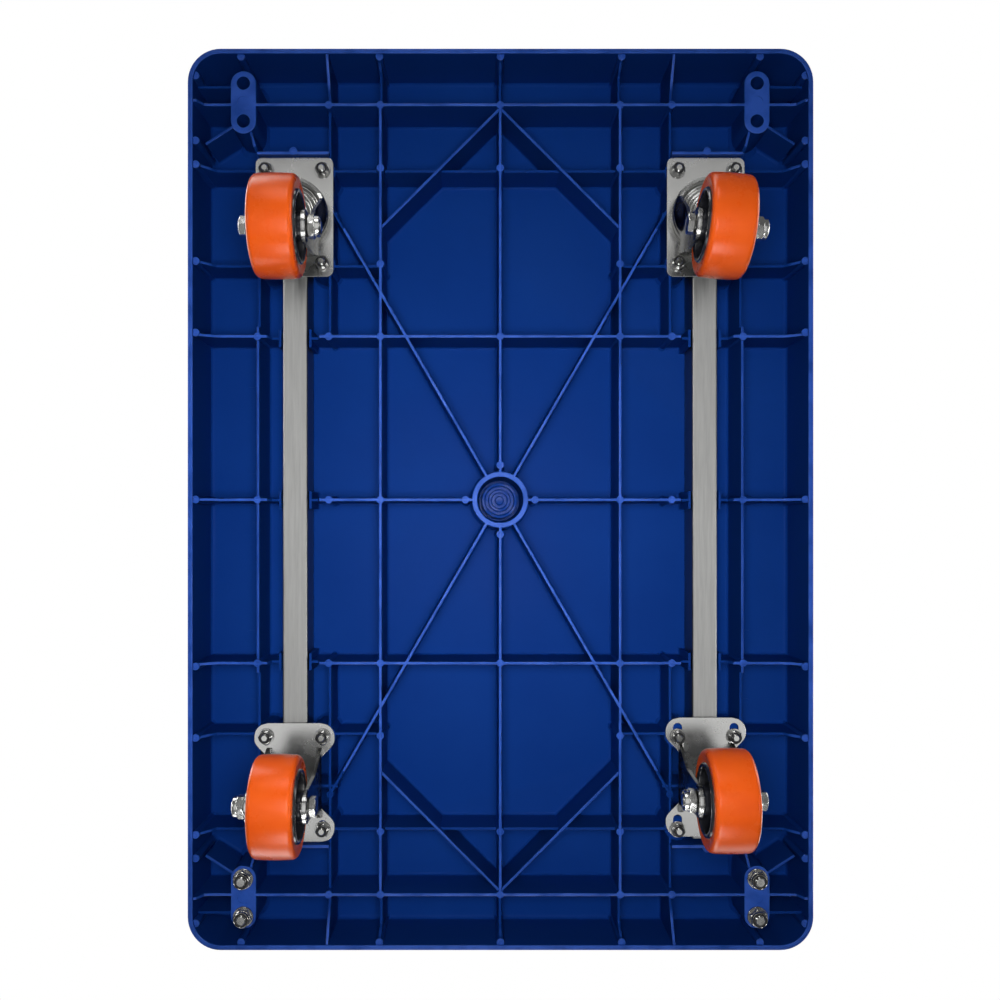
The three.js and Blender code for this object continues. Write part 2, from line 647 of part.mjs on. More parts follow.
// A nose on the latch bar points at the handle's pivot and ends just short of the turning tube end.
function latchNose(side) {
  const towardPivot = new THREE.Vector2(-BOSS_Y - PEDAL_Y, PIVOT_Z - PEDAL_Z).normalize();
  const corner = (along, across) => [
    PEDAL_Y + towardPivot.x * along - towardPivot.y * across,
    PEDAL_Z + towardPivot.y * along + towardPivot.x * across,
  ];
  const outline = polygon([corner(0, -3.6), corner(9.5, -1.6), corner(9.5, 1.6), corner(0, 3.6)]);
  return sheet(outline, side * BOSS_X - 7, side * BOSS_X + 7);
}

function makeLatchBar() {
  return join(bar(PEDAL_ROD_RADIUS, -224, 224, PEDAL_Y, PEDAL_Z), latchNose(-1), latchNose(1));
}

function makePedal() {
  const bore = PEDAL_ROD_RADIUS + GAP;
  const sleeve = turnedAcross([[bore, -45], [7, -45], [7, 45], [bore, 45]], 16).translate(0, PEDAL_Y, PEDAL_Z);
  const pad = block(-45, 45, PEDAL_Y + 5, -300, PEDAL_Z + 1, PEDAL_Z + 4);
  const lip = block(-45, 45, -303, -300, PEDAL_Z - 4, PEDAL_Z + 2);
  return join(sleeve, pad, lip);
}

function makePedalSpring(side) {
  const [x0, x1] = side > 0 ? [172, 187] : [-187, -172];
  const inner = PEDAL_ROD_RADIUS + 0.5;
  return turnedAcross([[inner, x0], [inner + 2, x0], [inner + 2, x1], [inner, x1]], 12)
    .translate(0, PEDAL_Y, PEDAL_Z);
}

// ---- Cart ---------------------------------------------------------------------------------------

const cart = new THREE.Group();
addPiece(cart, 'deck', makeDeck(), deckBlue);
for (const [sideName, side] of Object.entries(SIDES)) {
  addPiece(cart, `rail_${sideName}`, makeRail(side), railSteel);
  addSwivelCaster(cart, sideName, side);
  addRigidCaster(cart, sideName, side);
  addPiece(cart, `hinge_bracket_${sideName}`, makeHinge(side), casterSteel);
  addPiece(cart, `pivot_bolt_${sideName}`, makePivotBolt(side), fastenerSteel);
  addPiece(cart, `pedal_spring_${sideName}`, makePedalSpring(side), springSteel);
}
addFasteners(cart);
addHandle(cart);
addPiece(cart, 'latch_bar', makeLatchBar(), fastenerSteel);
addPiece(cart, 'foot_pedal', makePedal(), gripBlack);

export default cart;
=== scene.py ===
# %% [markdown]
# # Folding platform cart
# A ribbed plastic deck on four casters, with a tubular handle that folds down onto it.
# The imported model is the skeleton: it says where every piece is and what turns about what.
# This file gives each piece its fine shape and its finish. Work starts from the skeleton's own
# boxes, so a piece never has to be fitted by eye.

# %% Load the frame
import json
import math

import bmesh
import bpy
import numpy as np
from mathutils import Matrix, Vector

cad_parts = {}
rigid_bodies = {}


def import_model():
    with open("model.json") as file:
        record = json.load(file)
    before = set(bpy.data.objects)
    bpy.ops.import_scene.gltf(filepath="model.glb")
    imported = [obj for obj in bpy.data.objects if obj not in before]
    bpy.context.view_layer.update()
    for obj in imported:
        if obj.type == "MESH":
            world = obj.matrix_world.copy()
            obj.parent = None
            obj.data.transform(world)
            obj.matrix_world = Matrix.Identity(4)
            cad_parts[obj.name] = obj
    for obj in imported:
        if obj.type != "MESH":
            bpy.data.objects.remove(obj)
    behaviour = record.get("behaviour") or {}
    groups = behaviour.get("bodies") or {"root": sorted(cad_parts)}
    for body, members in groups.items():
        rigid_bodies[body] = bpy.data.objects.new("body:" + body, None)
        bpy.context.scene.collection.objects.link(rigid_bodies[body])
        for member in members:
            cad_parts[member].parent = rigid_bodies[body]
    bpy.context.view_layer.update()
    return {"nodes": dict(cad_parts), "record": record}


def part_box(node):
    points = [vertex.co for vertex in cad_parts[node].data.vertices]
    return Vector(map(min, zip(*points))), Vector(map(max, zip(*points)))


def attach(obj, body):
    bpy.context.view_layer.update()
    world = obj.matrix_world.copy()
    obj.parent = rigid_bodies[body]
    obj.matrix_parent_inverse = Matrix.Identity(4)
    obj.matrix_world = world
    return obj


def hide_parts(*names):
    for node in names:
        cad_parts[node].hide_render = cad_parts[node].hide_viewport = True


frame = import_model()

MM = 0.001

# %% [markdown]
# ## Forms
# Every shape here is a *form*: an array of points and a list of faces. A form could be made with
# Blender's primitives, but a grid of points worked out by a formula can be checked and changed in one
# place. All lengths in the forms are millimetres, and they turn into metres when the mesh is made.

# %% Forms from grids
def grid_faces(rows, columns, wrap_rows=False, wrap_columns=True):
    """Four-sided faces between neighbouring rows and columns of a grid, numbered row by row."""
    row = np.arange(rows if wrap_rows else rows - 1)[:, None]
    column = np.arange(columns if wrap_columns else columns - 1)[None, :]
    next_row = (row + 1) % rows
    next_column = (column + 1) % columns
    corners = [row * columns + column, row * columns + next_column,
               next_row * columns + next_column, next_row * columns + column]
    return np.stack(np.broadcast_arrays(*corners), -1).reshape(-1, 4).tolist()


def loft(sections, ring=False):
    """Skin over closed sections, an array of shape (sections, points, 3). A ring joins its last
    section to its first, and any other form is closed by one flat face at each end."""
    sections = np.asarray(sections, float)
    rows, columns = sections.shape[:2]
    faces = grid_faces(rows, columns, wrap_rows=ring)
    if not ring:
        faces.append(list(range(columns))[::-1])
        faces.append(list(range((rows - 1) * columns, rows * columns)))
    return sections.reshape(-1, 3), faces


print("faces over two squares:", len(loft(np.zeros((2, 4, 3)))[1]))

# %% [markdown]
# Bolts, bosses, wheels and posts are turned on the real cart or moulded in turned moulds: one profile
# carried round an axis. The Screw modifier could turn it, but a profile kept as numbers can still be
# cut, moved and joined as a form.

# %% Turned forms
def lathe(profile, steps=48, ring=False, start=0.0):
    """A profile of (radius, height) points turned round Z: x = r cos a, y = r sin a, z = h."""
    profile = np.asarray(profile, float)
    angle = start + np.linspace(0, 2 * np.pi, steps, endpoint=False)
    radius, height = profile[:, 0][:, None], profile[:, 1][:, None]
    points = np.stack([radius * np.cos(angle), radius * np.sin(angle), height + 0 * angle], -1)
    return loft(points, ring=ring)


print("points of a turned tube:", len(lathe([(4, 0), (5, 0), (5, 1)])[0]))

# %% [markdown]
# Most pieces come in pairs or fours: left and right, front and rear. They could be placed by object
# transforms, but a finished piece sits at the origin with its place in its mesh, so the form itself
# is shifted, turned or mirrored.

# %% Placing forms
def moved(form, x=0.0, y=0.0, z=0.0):
    """The form shifted by a vector."""
    points, faces = form
    return points + np.array([x, y, z]), faces


def along_x(form):
    """The form with its Z axis laid along X: (x, y, z) goes to (z, x, y)."""
    points, faces = form
    return points[:, [2, 0, 1]], faces


def turned_z(form, angle):
    """The form turned by an angle in radians round Z."""
    points, faces = form
    c, s = math.cos(angle), math.sin(angle)
    return points @ np.array([[c, s, 0], [-s, c, 0], [0, 0, 1]]), faces


def tilted_x(form, angle):
    """The form turned by an angle in radians round X."""
    points, faces = form
    c, s = math.cos(angle), math.sin(angle)
    return points @ np.array([[1, 0, 0], [0, c, s], [0, -s, c]]), faces


def mirrored_x(form):
    """The form seen in a mirror at x = 0, with its faces turned to keep pointing outwards."""
    points, faces = form
    return points * np.array([-1, 1, 1]), [face[::-1] for face in faces]


def together(*forms):
    """Several forms as one, each with its own points."""
    points, faces, first = [], [], 0
    for form_points, form_faces in forms:
        points.append(form_points)
        faces += [[index + first for index in face] for face in form_faces]
        first += len(form_points)
    return np.concatenate(points), faces


print("points of two discs:", len(together(lathe([(1, 0), (1, 1)]), lathe([(2, 0), (2, 1)]))[0]))

# %% [markdown]
# Plates, brackets and spokes are cut from flat stock, so each is an outline with a thickness.
# Solidify and Bevel could do it, but an outline moved inwards by a known inset gives a bevel that
# never crosses itself on a small piece.

# %% Plates
def prism(outline, z0, z1, bevel=0.4):
    """An outline of (x, y) points as a plate with both edges bevelled.
    Each point moves inwards along the mean of its two edge normals."""
    outline = np.asarray(outline, float)
    after = np.roll(outline, -1, 0)
    if (outline[:, 0] * after[:, 1] - outline[:, 1] * after[:, 0]).sum() < 0:
        outline = outline[::-1]
    step = np.roll(outline, -1, 0) - outline
    step /= np.linalg.norm(step, axis=1, keepdims=True)
    normal = np.stack([-step[:, 1], step[:, 0]], -1)
    inward = normal + np.roll(normal, 1, 0)
    inward /= np.maximum((inward * normal).sum(1, keepdims=True), 0.35)
    levels = [(bevel, z0), (bevel * 0.3, z0 + bevel * 0.3), (0, z0 + bevel),
              (0, z1 - bevel), (bevel * 0.3, z1 - bevel * 0.3), (bevel, z1)]
    rows = [np.column_stack([outline + inset * inward, np.full(len(outline), z)]) for inset, z in levels]
    return loft(rows)


print("points of a square plate:", len(prism([(0, 0), (9, 0), (9, 9), (0, 9)], 0, 2)[0]))

# %% [markdown]
# Corners, ears and slots are the round stretches of an outline. Bezier curves could draw them, but an
# arc given by centre, radius and angles is exact, and its number of points is a plain choice.

# %% Outlines
def arc(cx, cy, radius, start, end, steps=8):
    """Points of a round stretch, with its angles in degrees."""
    angle = np.radians(np.linspace(start, end, steps))
    return np.stack([cx + radius * np.cos(angle), cy + radius * np.sin(angle)], -1)


def rounded_rectangle(width, length, radius, steps=9):
    """The outline of a rectangle with round corners, about the origin."""
    x, y = width / 2 - radius, length / 2 - radius
    return np.concatenate([arc(x, y, radius, 0, 90, steps), arc(-x, y, radius, 90, 180, steps),
                           arc(-x, -y, radius, 180, 270, steps), arc(x, -y, radius, 270, 360, steps)])


def slot_outline(width, length, x=0.0, y=0.0, steps=12):
    """The outline of a slot along Y with round ends."""
    reach = (length - width) / 2
    return np.concatenate([arc(x, y + reach, width / 2, 0, 180, steps),
                           arc(x, y - reach, width / 2, 180, 360, steps)])


print("points of a slot:", len(slot_outline(7, 10)))

# %% [markdown]
# ## From a form to a piece
# A form has to become a mesh before Blender can show or cut it. Faces could be made one by one in bmesh,
# but from_pydata takes the whole arrays at once. Double points are merged, and the faces are turned
# outwards, because a cut needs to know what is inside.

# %% Meshes from forms
scene = bpy.context.scene


def mesh_of(form, name="form"):
    """A mesh, in metres, with its faces turned outwards."""
    points, faces = form
    mesh = bpy.data.meshes.new(name)
    mesh.from_pydata((np.asarray(points) * MM).tolist(), [], faces)
    work = bmesh.new()
    work.from_mesh(mesh)
    bmesh.ops.remove_doubles(work, verts=work.verts, dist=1e-7)
    bmesh.ops.recalc_face_normals(work, faces=work.faces)
    work.to_mesh(mesh)
    work.free()
    return mesh


def form_of(mesh):
    """A mesh's points, in millimetres, and its faces."""
    points = np.empty(len(mesh.vertices) * 3)
    mesh.vertices.foreach_get("co", points)
    return points.reshape(-1, 3) / MM, [list(face.vertices) for face in mesh.polygons]


print("points in the mesh of a disc:", len(mesh_of(lathe([(1, 0), (1, 1)])).vertices))

# %% [markdown]
# Holes are drilled and bosses are moulded on, and the forms are cut and joined in the same way. It
# could be modelled face by face. The Boolean modifier does it exactly, and its manifold solver is
# quick, but it needs every form closed.

# %% Join and cut
def combined(form, others, operation="UNION"):
    """The form joined with the others, or cut by them."""
    target = bpy.data.objects.new("target", mesh_of(form))
    scene.collection.objects.link(target)
    tools = bpy.data.collections.new("tools")
    scene.collection.children.link(tools)
    for other in others:
        tools.objects.link(bpy.data.objects.new("tool", mesh_of(other)))
    modifier = target.modifiers.new("combine", "BOOLEAN")
    modifier.operand_type = "COLLECTION"
    modifier.collection = tools
    modifier.operation = operation
    modifier.solver = "MANIFOLD"
    bpy.context.view_layer.update()
    result = bpy.data.meshes.new_from_object(target.evaluated_get(bpy.context.evaluated_depsgraph_get()))
    made = form_of(result)
    for tool in list(tools.objects):
        bpy.data.objects.remove(tool)
    bpy.data.collections.remove(tools)
    bpy.data.objects.remove(target)
    bpy.data.meshes.remove(result)
    return made


def cut(form, *tools):
    """The form with the tools' shapes taken out of it."""
    return combined(form, tools, "DIFFERENCE")


def join(form, *others):
    """The form and the others as one skin."""
    return combined(form, others, "UNION")


print("faces of a drilled disc:", len(cut(lathe([(5, 0), (5, 1)]), lathe([(2, -1), (2, 2)]))[1]))

# %% [markdown]
# A finished piece gets smooth shading with sharp edges, and normals weighted by face area, so that
# large flat faces stay flat beside small fillets. It could hang on an empty, but riding a body of the
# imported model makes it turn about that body's own joint.

# %% Finished pieces
def piece(name, form, material, body, nodes=(), sharp=38, weighted=True):
    """A finished object: meshed, shaded, given its material and hung on its body."""
    mesh = mesh_of(form, name)
    mesh.shade_smooth()
    mesh.set_sharp_from_angle(angle=math.radians(sharp))
    mesh.materials.append(material)
    thing = bpy.data.objects.new(name, mesh)
    scene.collection.objects.link(thing)
    if weighted:
        normals = thing.modifiers.new("flat_faces", "WEIGHTED_NORMAL")
        normals.keep_sharp = True
    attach(thing, body)
    if nodes:
        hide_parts(*nodes)
    return thing


# %% [markdown]
# ## Finishes
# A moulded or plated surface is never one flat colour. Each finish starts from the plain shader and adds
# what the real surface has: a fine grain from the mould, soft changes of tone, streaks along the drawing
# direction of a tube, rubbed spots. Some also get painted light: a painted highlight on the rubbed deck edges,
# and painted shade on upright steel faces. The noise reads object coordinates, so it stays on the piece when
# the piece moves.

# %% Finish helper
def finish(name, colour, second, rough, metallic=0.0, spread=18.0, stretch=(1, 1, 1), grain=900.0,
           grain_depth=0.02, wave=0.0, coat=0.0, contrast=0.5):
    """A shader with two tones mixed by noise, roughness that changes with the same noise, fine grain as
    bump, and an optional slow wave. Noise scales are per metre, and stretch scales each axis."""
    material = bpy.data.materials.new(name)
    material.use_nodes = True
    tree = material.node_tree
    nodes, link = tree.nodes, tree.links.new
    shader = nodes["Principled BSDF"]
    shader.inputs["Metallic"].default_value = metallic
    shader.inputs["Coat Weight"].default_value = coat
    shader.inputs["Coat Roughness"].default_value = 0.12
    place = nodes.new("ShaderNodeTexCoord")
    mapping = nodes.new("ShaderNodeMapping")
    mapping.inputs["Scale"].default_value = stretch
    link(place.outputs["Object"], mapping.inputs["Vector"])

    tone = nodes.new("ShaderNodeTexNoise")
    tone.inputs["Scale"].default_value = spread
    tone.inputs["Detail"].default_value = 6
    tone.inputs["Roughness"].default_value = 0.6
    link(mapping.outputs["Vector"], tone.inputs["Vector"])
    range_node = nodes.new("ShaderNodeMapRange")
    range_node.inputs["From Min"].default_value = 0.5 - contrast / 2
    range_node.inputs["From Max"].default_value = 0.5 + contrast / 2
    link(tone.outputs["Fac"], range_node.inputs["Value"])
    mix = nodes.new("ShaderNodeMix")
    mix.data_type = "RGBA"
    mix.inputs["A"].default_value = (*colour, 1)
    mix.inputs["B"].default_value = (*second, 1)
    link(range_node.outputs["Result"], mix.inputs["Factor"])
    link(mix.outputs["Result"], shader.inputs["Base Color"])

    roughness = nodes.new("ShaderNodeMapRange")
    roughness.inputs["To Min"].default_value = rough[0]
    roughness.inputs["To Max"].default_value = rough[1]
    link(range_node.outputs["Result"], roughness.inputs["Value"])
    link(roughness.outputs["Result"], shader.inputs["Roughness"])

    fine = nodes.new("ShaderNodeTexNoise")
    fine.inputs["Scale"].default_value = grain
    fine.inputs["Detail"].default_value = 3
    link(mapping.outputs["Vector"], fine.inputs["Vector"])
    bump = nodes.new("ShaderNodeBump")
    bump.inputs["Strength"].default_value = 0.35
    bump.inputs["Distance"].default_value = grain_depth * MM
    link(fine.outputs["Fac"], bump.inputs["Height"])
    link(bump.outputs["Normal"], shader.inputs["Normal"])
    if wave:
        slow = nodes.new("ShaderNodeTexNoise")
        slow.inputs["Scale"].default_value = 14
        slow.inputs["Detail"].default_value = 1
        link(place.outputs["Object"], slow.inputs["Vector"])
        sag = nodes.new("ShaderNodeBump")
        sag.inputs["Strength"].default_value = 0.5
        sag.inputs["Distance"].default_value = wave * MM
        link(slow.outputs["Fac"], sag.inputs["Height"])
        link(bump.outputs["Normal"], sag.inputs["Normal"])
        link(sag.outputs["Normal"], shader.inputs["Normal"])
    return material


print("materials so far:", len(bpy.data.materials))

# %% [markdown]
# Every floor and load that the deck has met has rubbed its lowest edges, so they are shinier than the faces
# between them.
# Their paler tone is partly that wear and partly a painted highlight, on the faces that look down towards the
# lamp below.
# An edge mask could be painted by hand, but height and the way a face looks pick out the same edges, and follow
# any change of shape.

# %% Rubbed and highlit edges
def rubbed_and_highlit_below(material, colour, low, high):
    """Shinier edges, paler partly from wear and partly as a painted highlight: the tone and the shine blend in
    on faces that look down, where z drops from high to low, in metres, broken up by noise."""
    nodes, link = material.node_tree.nodes, material.node_tree.links.new
    shader = nodes["Principled BSDF"]
    under = shader.inputs["Base Color"].links[0].from_socket
    place = nodes.new("ShaderNodeTexCoord")
    split = nodes.new("ShaderNodeSeparateXYZ")
    link(place.outputs["Object"], split.inputs["Vector"])
    height = nodes.new("ShaderNodeMapRange")
    height.inputs["From Min"].default_value = high
    height.inputs["From Max"].default_value = low
    link(split.outputs["Z"], height.inputs["Value"])
    patches = nodes.new("ShaderNodeTexNoise")
    patches.inputs["Scale"].default_value = 55
    patches.inputs["Detail"].default_value = 5
    link(place.outputs["Object"], patches.inputs["Vector"])
    patchy = nodes.new("ShaderNodeMapRange")
    patchy.inputs["From Min"].default_value = 0.3
    patchy.inputs["From Max"].default_value = 0.6
    patchy.inputs["To Min"].default_value = 0.4
    link(patches.outputs["Fac"], patchy.inputs["Value"])
    surface = nodes.new("ShaderNodeNewGeometry")
    split_normal = nodes.new("ShaderNodeSeparateXYZ")
    link(surface.outputs["True Normal"], split_normal.inputs["Vector"])
    facing_down = nodes.new("ShaderNodeMapRange")
    facing_down.inputs["From Min"].default_value = -0.15
    facing_down.inputs["From Max"].default_value = -0.75
    link(split_normal.outputs["Z"], facing_down.inputs["Value"])
    edge = nodes.new("ShaderNodeMath")
    edge.operation = "MULTIPLY"
    link(height.outputs["Result"], edge.inputs[0])
    link(facing_down.outputs["Result"], edge.inputs[1])
    amount = nodes.new("ShaderNodeMath")
    amount.operation = "MULTIPLY"
    link(edge.outputs["Value"], amount.inputs[0])
    link(patchy.outputs["Result"], amount.inputs[1])
    mix = nodes.new("ShaderNodeMix")
    mix.data_type = "RGBA"
    mix.inputs["B"].default_value = (*colour, 1)
    link(amount.outputs["Value"], mix.inputs["Factor"])
    link(under, mix.inputs["A"])
    link(mix.outputs["Result"], shader.inputs["Base Color"])
    shine = nodes.new("ShaderNodeMapRange")
    shine.inputs["To Min"].default_value = 0.035
    shine.inputs["To Max"].default_value = 0.32
    link(amount.outputs["Value"], shine.inputs["Value"])
    link(shine.outputs["Result"], shader.inputs["Specular IOR Level"])


print("materials so far:", len(bpy.data.materials))

# %% [markdown]
# Steel faces that stand upright, on bends, cut edges and the sides of nuts, get painted shade: their base
# colour is darkened.
# Each piece could have two materials, face by face. The height of the normal does the same inside one material.

# %% Painted side shade
def painted_side_shade(material, share):
    """Painted shade on upright faces: the base colour is scaled by share where the normal is level."""
    nodes, link = material.node_tree.nodes, material.node_tree.links.new
    shader = nodes["Principled BSDF"]
    under = shader.inputs["Base Color"].links[0].from_socket
    surface = nodes.new("ShaderNodeNewGeometry")
    split = nodes.new("ShaderNodeSeparateXYZ")
    link(surface.outputs["True Normal"], split.inputs["Vector"])
    steep = nodes.new("ShaderNodeMath")
    steep.operation = "ABSOLUTE"
    link(split.outputs["Z"], steep.inputs[0])
    amount = nodes.new("ShaderNodeMapRange")
    amount.inputs["From Min"].default_value = 0.35
    amount.inputs["From Max"].default_value = 0.98
    amount.inputs["To Min"].default_value = share
    link(steep.outputs["Value"], amount.inputs["Value"])
    tint = nodes.new("ShaderNodeVectorMath")
    tint.operation = "SCALE"
    link(under, tint.inputs[0])
    link(amount.outputs["Result"], tint.inputs["Scale"])
    link(tint.outputs["Vector"], shader.inputs["Base Color"])


print("materials so far:", len(bpy.data.materials))

# %% [markdown]
# A polished patch on plastic has the same colour as the rest, and only reflects more. Two whole
# shaders could be mixed for it. Adding a mask to the specular level is simpler, and any number of
# patches can be added one after another.

# %% More shine
def more_shine(material, mask, most):
    """A higher specular level where a mask is high: the mask times the most is added to it."""
    nodes, link = material.node_tree.nodes, material.node_tree.links.new
    shine = nodes["Principled BSDF"].inputs["Specular IOR Level"]
    total = nodes.new("ShaderNodeMath")
    total.operation = "MULTIPLY_ADD"
    link(mask, total.inputs[0])
    total.inputs[1].default_value = most
    link(shine.links[0].from_socket, total.inputs[2])
    link(total.outputs["Value"], shine)


print("materials so far:", len(bpy.data.materials))

# %% [markdown]
# The top of the deck keeps the gloss of its mould, while the underside has a dull grain. The deck
# could be split into two pieces, but it is one moulding, so the mask reads which way each face looks.

# %% Shiny top
def shiny_top(material, most):
    """Faces that look up keep the mould's gloss: the mask rises with the normal's height."""
    nodes, link = material.node_tree.nodes, material.node_tree.links.new
    surface = nodes.new("ShaderNodeNewGeometry")
    split = nodes.new("ShaderNodeSeparateXYZ")
    link(surface.outputs["True Normal"], split.inputs["Vector"])
    up = nodes.new("ShaderNodeMapRange")
    up.inputs["From Max"].default_value = 0.6
    link(split.outputs["Z"], up.inputs["Value"])
    more_shine(material, up.outputs["Result"], most)


print("materials so far:", len(bpy.data.materials))

# %% [markdown]
# The boss in the middle of the deck is scuffed in patches. The patches could be painted,
# but noise inside a radius gives them at any distance, with nothing to store.

# %% Scuffed middle
def scuffed_middle(material, radius, most):
    """Scuffs round the Z axis: noise as the mask, inside the radius, in metres."""
    nodes, link = material.node_tree.nodes, material.node_tree.links.new
    place = nodes.new("ShaderNodeTexCoord")
    flat = nodes.new("ShaderNodeVectorMath")
    flat.operation = "MULTIPLY"
    flat.inputs[1].default_value = (1, 1, 0)
    link(place.outputs["Object"], flat.inputs[0])
    distance = nodes.new("ShaderNodeVectorMath")
    distance.operation = "LENGTH"
    link(flat.outputs["Vector"], distance.inputs[0])
    inside = nodes.new("ShaderNodeMath")
    inside.operation = "LESS_THAN"
    inside.inputs[1].default_value = radius
    link(distance.outputs["Value"], inside.inputs[0])
    scuffs = nodes.new("ShaderNodeTexNoise")
    scuffs.inputs["Scale"].default_value = 130
    scuffs.inputs["Detail"].default_value = 6
    link(place.outputs["Object"], scuffs.inputs["Vector"])
    sharper = nodes.new("ShaderNodeMapRange")
    sharper.inputs["From Min"].default_value = 0.42
    sharper.inputs["From Max"].default_value = 0.62
    link(scuffs.outputs["Fac"], sharper.inputs["Value"])
    mask = nodes.new("ShaderNodeMath")
    mask.operation = "MULTIPLY"
    link(sharper.outputs["Result"], mask.inputs[0])
    link(inside.outputs["Value"], mask.inputs[1])
    more_shine(material, mask.outputs["Value"], most)


print("masks ready:", [maker.__name__ for maker in (rubbed_and_highlit_below, painted_side_shade, shiny_top, scuffed_middle)])

# %% [markdown]
# The deck is blue polypropylene. Its two tones lie close together, because the colour goes right
# through the plastic. One flat colour could do, but a slow change of tone and a slight wave in the
# faces keep large panels from looking drawn.

# %% Deck finish
deck_blue = finish("deck_blue", (0.0028, 0.0295, 0.194), (0.0042, 0.038, 0.227), (0.30, 0.42), spread=9,
                   grain=1500, grain_depth=0.03, wave=1.2)
# Painted highlight with wear: a paler blue on the down-facing free edges of the ribs and the rim.
rubbed_and_highlit_below(deck_blue, (0.022, 0.096, 0.50), 0.1028, 0.1065)
shiny_top(deck_blue, 0.4)
scuffed_middle(deck_blue, 0.0178, 0.55)
print("deck nodes:", len(deck_blue.node_tree.nodes))

# %% [markdown]
# The rails are drawn steel with streaks along their length, and the casters are pressed and zinc
# plated. One steel could serve for all, but drawn, pressed and turned steel each have their own grain
# and shine.

# %% Steel finishes
rail_steel = finish("rail_steel", (0.54, 0.54, 0.53), (0.70, 0.70, 0.685), (0.30, 0.46), metallic=1.0,
                    spread=60, stretch=(6, 0.35, 6), grain=700, grain_depth=0.05, contrast=0.35)
caster_steel = finish("caster_steel", (0.74, 0.74, 0.73), (0.88, 0.88, 0.86), (0.19, 0.32), metallic=1.0,
                      spread=45, grain=1200, grain_depth=0.03, wave=0.35)
# Painted shade: the upright faces of the rails and the caster pressings are darkened.
painted_side_shade(rail_steel, 0.30)
painted_side_shade(caster_steel, 0.22)
fastener_steel = finish("fastener_steel", (0.62, 0.62, 0.60), (0.82, 0.82, 0.80), (0.18, 0.30), metallic=1.0,
                        spread=120, grain=1800, grain_depth=0.02)
hinge_steel = finish("hinge_steel", (0.70, 0.70, 0.69), (0.84, 0.84, 0.82), (0.22, 0.34), metallic=1.0,
                     spread=45, grain=1200, grain_depth=0.03, wave=0.35)
screw_steel = finish("screw_steel", (0.72, 0.72, 0.70), (0.90, 0.90, 0.88), (0.16, 0.27), metallic=1.0,
                     spread=120, grain=1800, grain_depth=0.02)
# Painted shade on the upright sides of the screws and nuts.
painted_side_shade(screw_steel, 0.16)
print("materials:", len(bpy.data.materials))

# %% [markdown]
# The tyres are cast polyurethane, the hubs and the rings in the lock nuts are nylon, and the grip is
# rubber. They differ most in shine, so each has its own pair of roughness values. The handle and the
# springs are plated steel.

# %% Tyre, nylon and rubber finishes
nylon_insert = finish("nylon_insert", (0.012, 0.012, 0.014), (0.03, 0.03, 0.034), (0.35, 0.5), spread=200)
tyre_orange = finish("tyre_orange", (0.86, 0.097, 0.006), (0.94, 0.130, 0.010), (0.22, 0.34), spread=25,
                     grain=500, grain_depth=0.02, wave=0.3)
tyre_orange.node_tree.nodes["Principled BSDF"].inputs["Specular IOR Level"].default_value = 0.25
hub_black = finish("hub_black", (0.008, 0.009, 0.013), (0.02, 0.021, 0.027), (0.16, 0.28), spread=40,
                   grain=900, grain_depth=0.02, coat=0.3)
handle_steel = finish("handle_steel", (0.62, 0.62, 0.61), (0.75, 0.75, 0.74), (0.14, 0.24), metallic=1.0,
                      spread=30, stretch=(1, 1, 0.2), grain=900, grain_depth=0.015)
grip_black = finish("grip_black", (0.014, 0.014, 0.015), (0.03, 0.03, 0.031), (0.50, 0.68), spread=70,
                    grain=2200, grain_depth=0.06)
spring_steel = finish("spring_steel", (0.30, 0.30, 0.31), (0.48, 0.48, 0.49), (0.25, 0.4), metallic=1.0,
                      spread=150, grain=1500)


print("materials:", len(bpy.data.materials))

# %% [markdown]
# The skeleton's nodes have slots for their materials. They could be left grey, since finer pieces
# replace them, but with the right finish a node that is still shown fits in.

# %% Slots
FINISH_OF_SLOT = {"deck_blue": deck_blue, "rail_steel": rail_steel, "caster_steel": caster_steel,
                  "fastener_steel": fastener_steel, "tyre_orange": tyre_orange, "hub_black": hub_black,
                  "handle_steel": handle_steel, "grip_black": grip_black, "spring_steel": spring_steel}
for part in frame["record"]["subparts"]:
    node = frame["nodes"][part["node"]]
    for material_slot in node.material_slots:
        material_slot.material = FINISH_OF_SLOT[part["material_slot"]]


print("slots:", sorted(FINISH_OF_SLOT))

# %% [markdown]
# ## Deck
# The deck is one injection moulding: a thin top plate, an outer wall, and a grid of deep ribs on the
# underside. Its sizes could be typed in again here, but they are read from the skeleton's boxes, so the
# fine deck always fits the rails and casters that are packed with it. Heights are from the ground.

# %% Deck sizes
deck_low, deck_high = (np.array(corner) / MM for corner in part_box("deck"))
DECK_WIDTH, DECK_LENGTH = deck_high[0] - deck_low[0], deck_high[1] - deck_low[1]
RIM_Z, DECK_TOP_Z = deck_low[2], deck_high[2]
CEILING_Z = DECK_TOP_Z - 4
DECK_CORNER = 26
seat_low, seat_high = (np.array(corner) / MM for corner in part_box("swivel_plate_right"))
SEAT_Z = seat_high[2] + 0.3
RIB_Z = RIM_Z + 10
TAB_Z = RIB_Z + 9
WALL_X = DECK_WIDTH / 2 - 2.5
WALL_Y = DECK_LENGTH / 2 - 2.5
rail_low, rail_high = (np.array(corner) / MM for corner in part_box("rail_right"))
RAIL_X = (rail_low[0] + rail_high[0]) / 2
CHANNEL = 21.5
BOLT_X, BOLT_Y = 22.5, 37
SPINE_X, INNER_SEAT_X, OUTER_SEAT_X = 95, 136, 192.5
CROSS_Y, SEAT_NEAR_Y, SEAT_FAR_Y, RAIL_STOP_Y, END_Y = 129.5, 187, 263, 273, 313
BOSS_X, BOSS_Y = 203.5, 315
QUARTERS = [(-1, -1), (-1, 1), (1, -1), (1, 1)]
print("deck", DECK_WIDTH, DECK_LENGTH, "rim", RIM_Z, "top", DECK_TOP_Z)

# %% [markdown]
# Real ribs have draft, so they are thinner at their free edge, and a fillet where they meet the
# plate. That fillet catches the light. Straight boxes would be simpler, but they give none of those
# bright lines, so a rib is a drafted profile carried along its line.

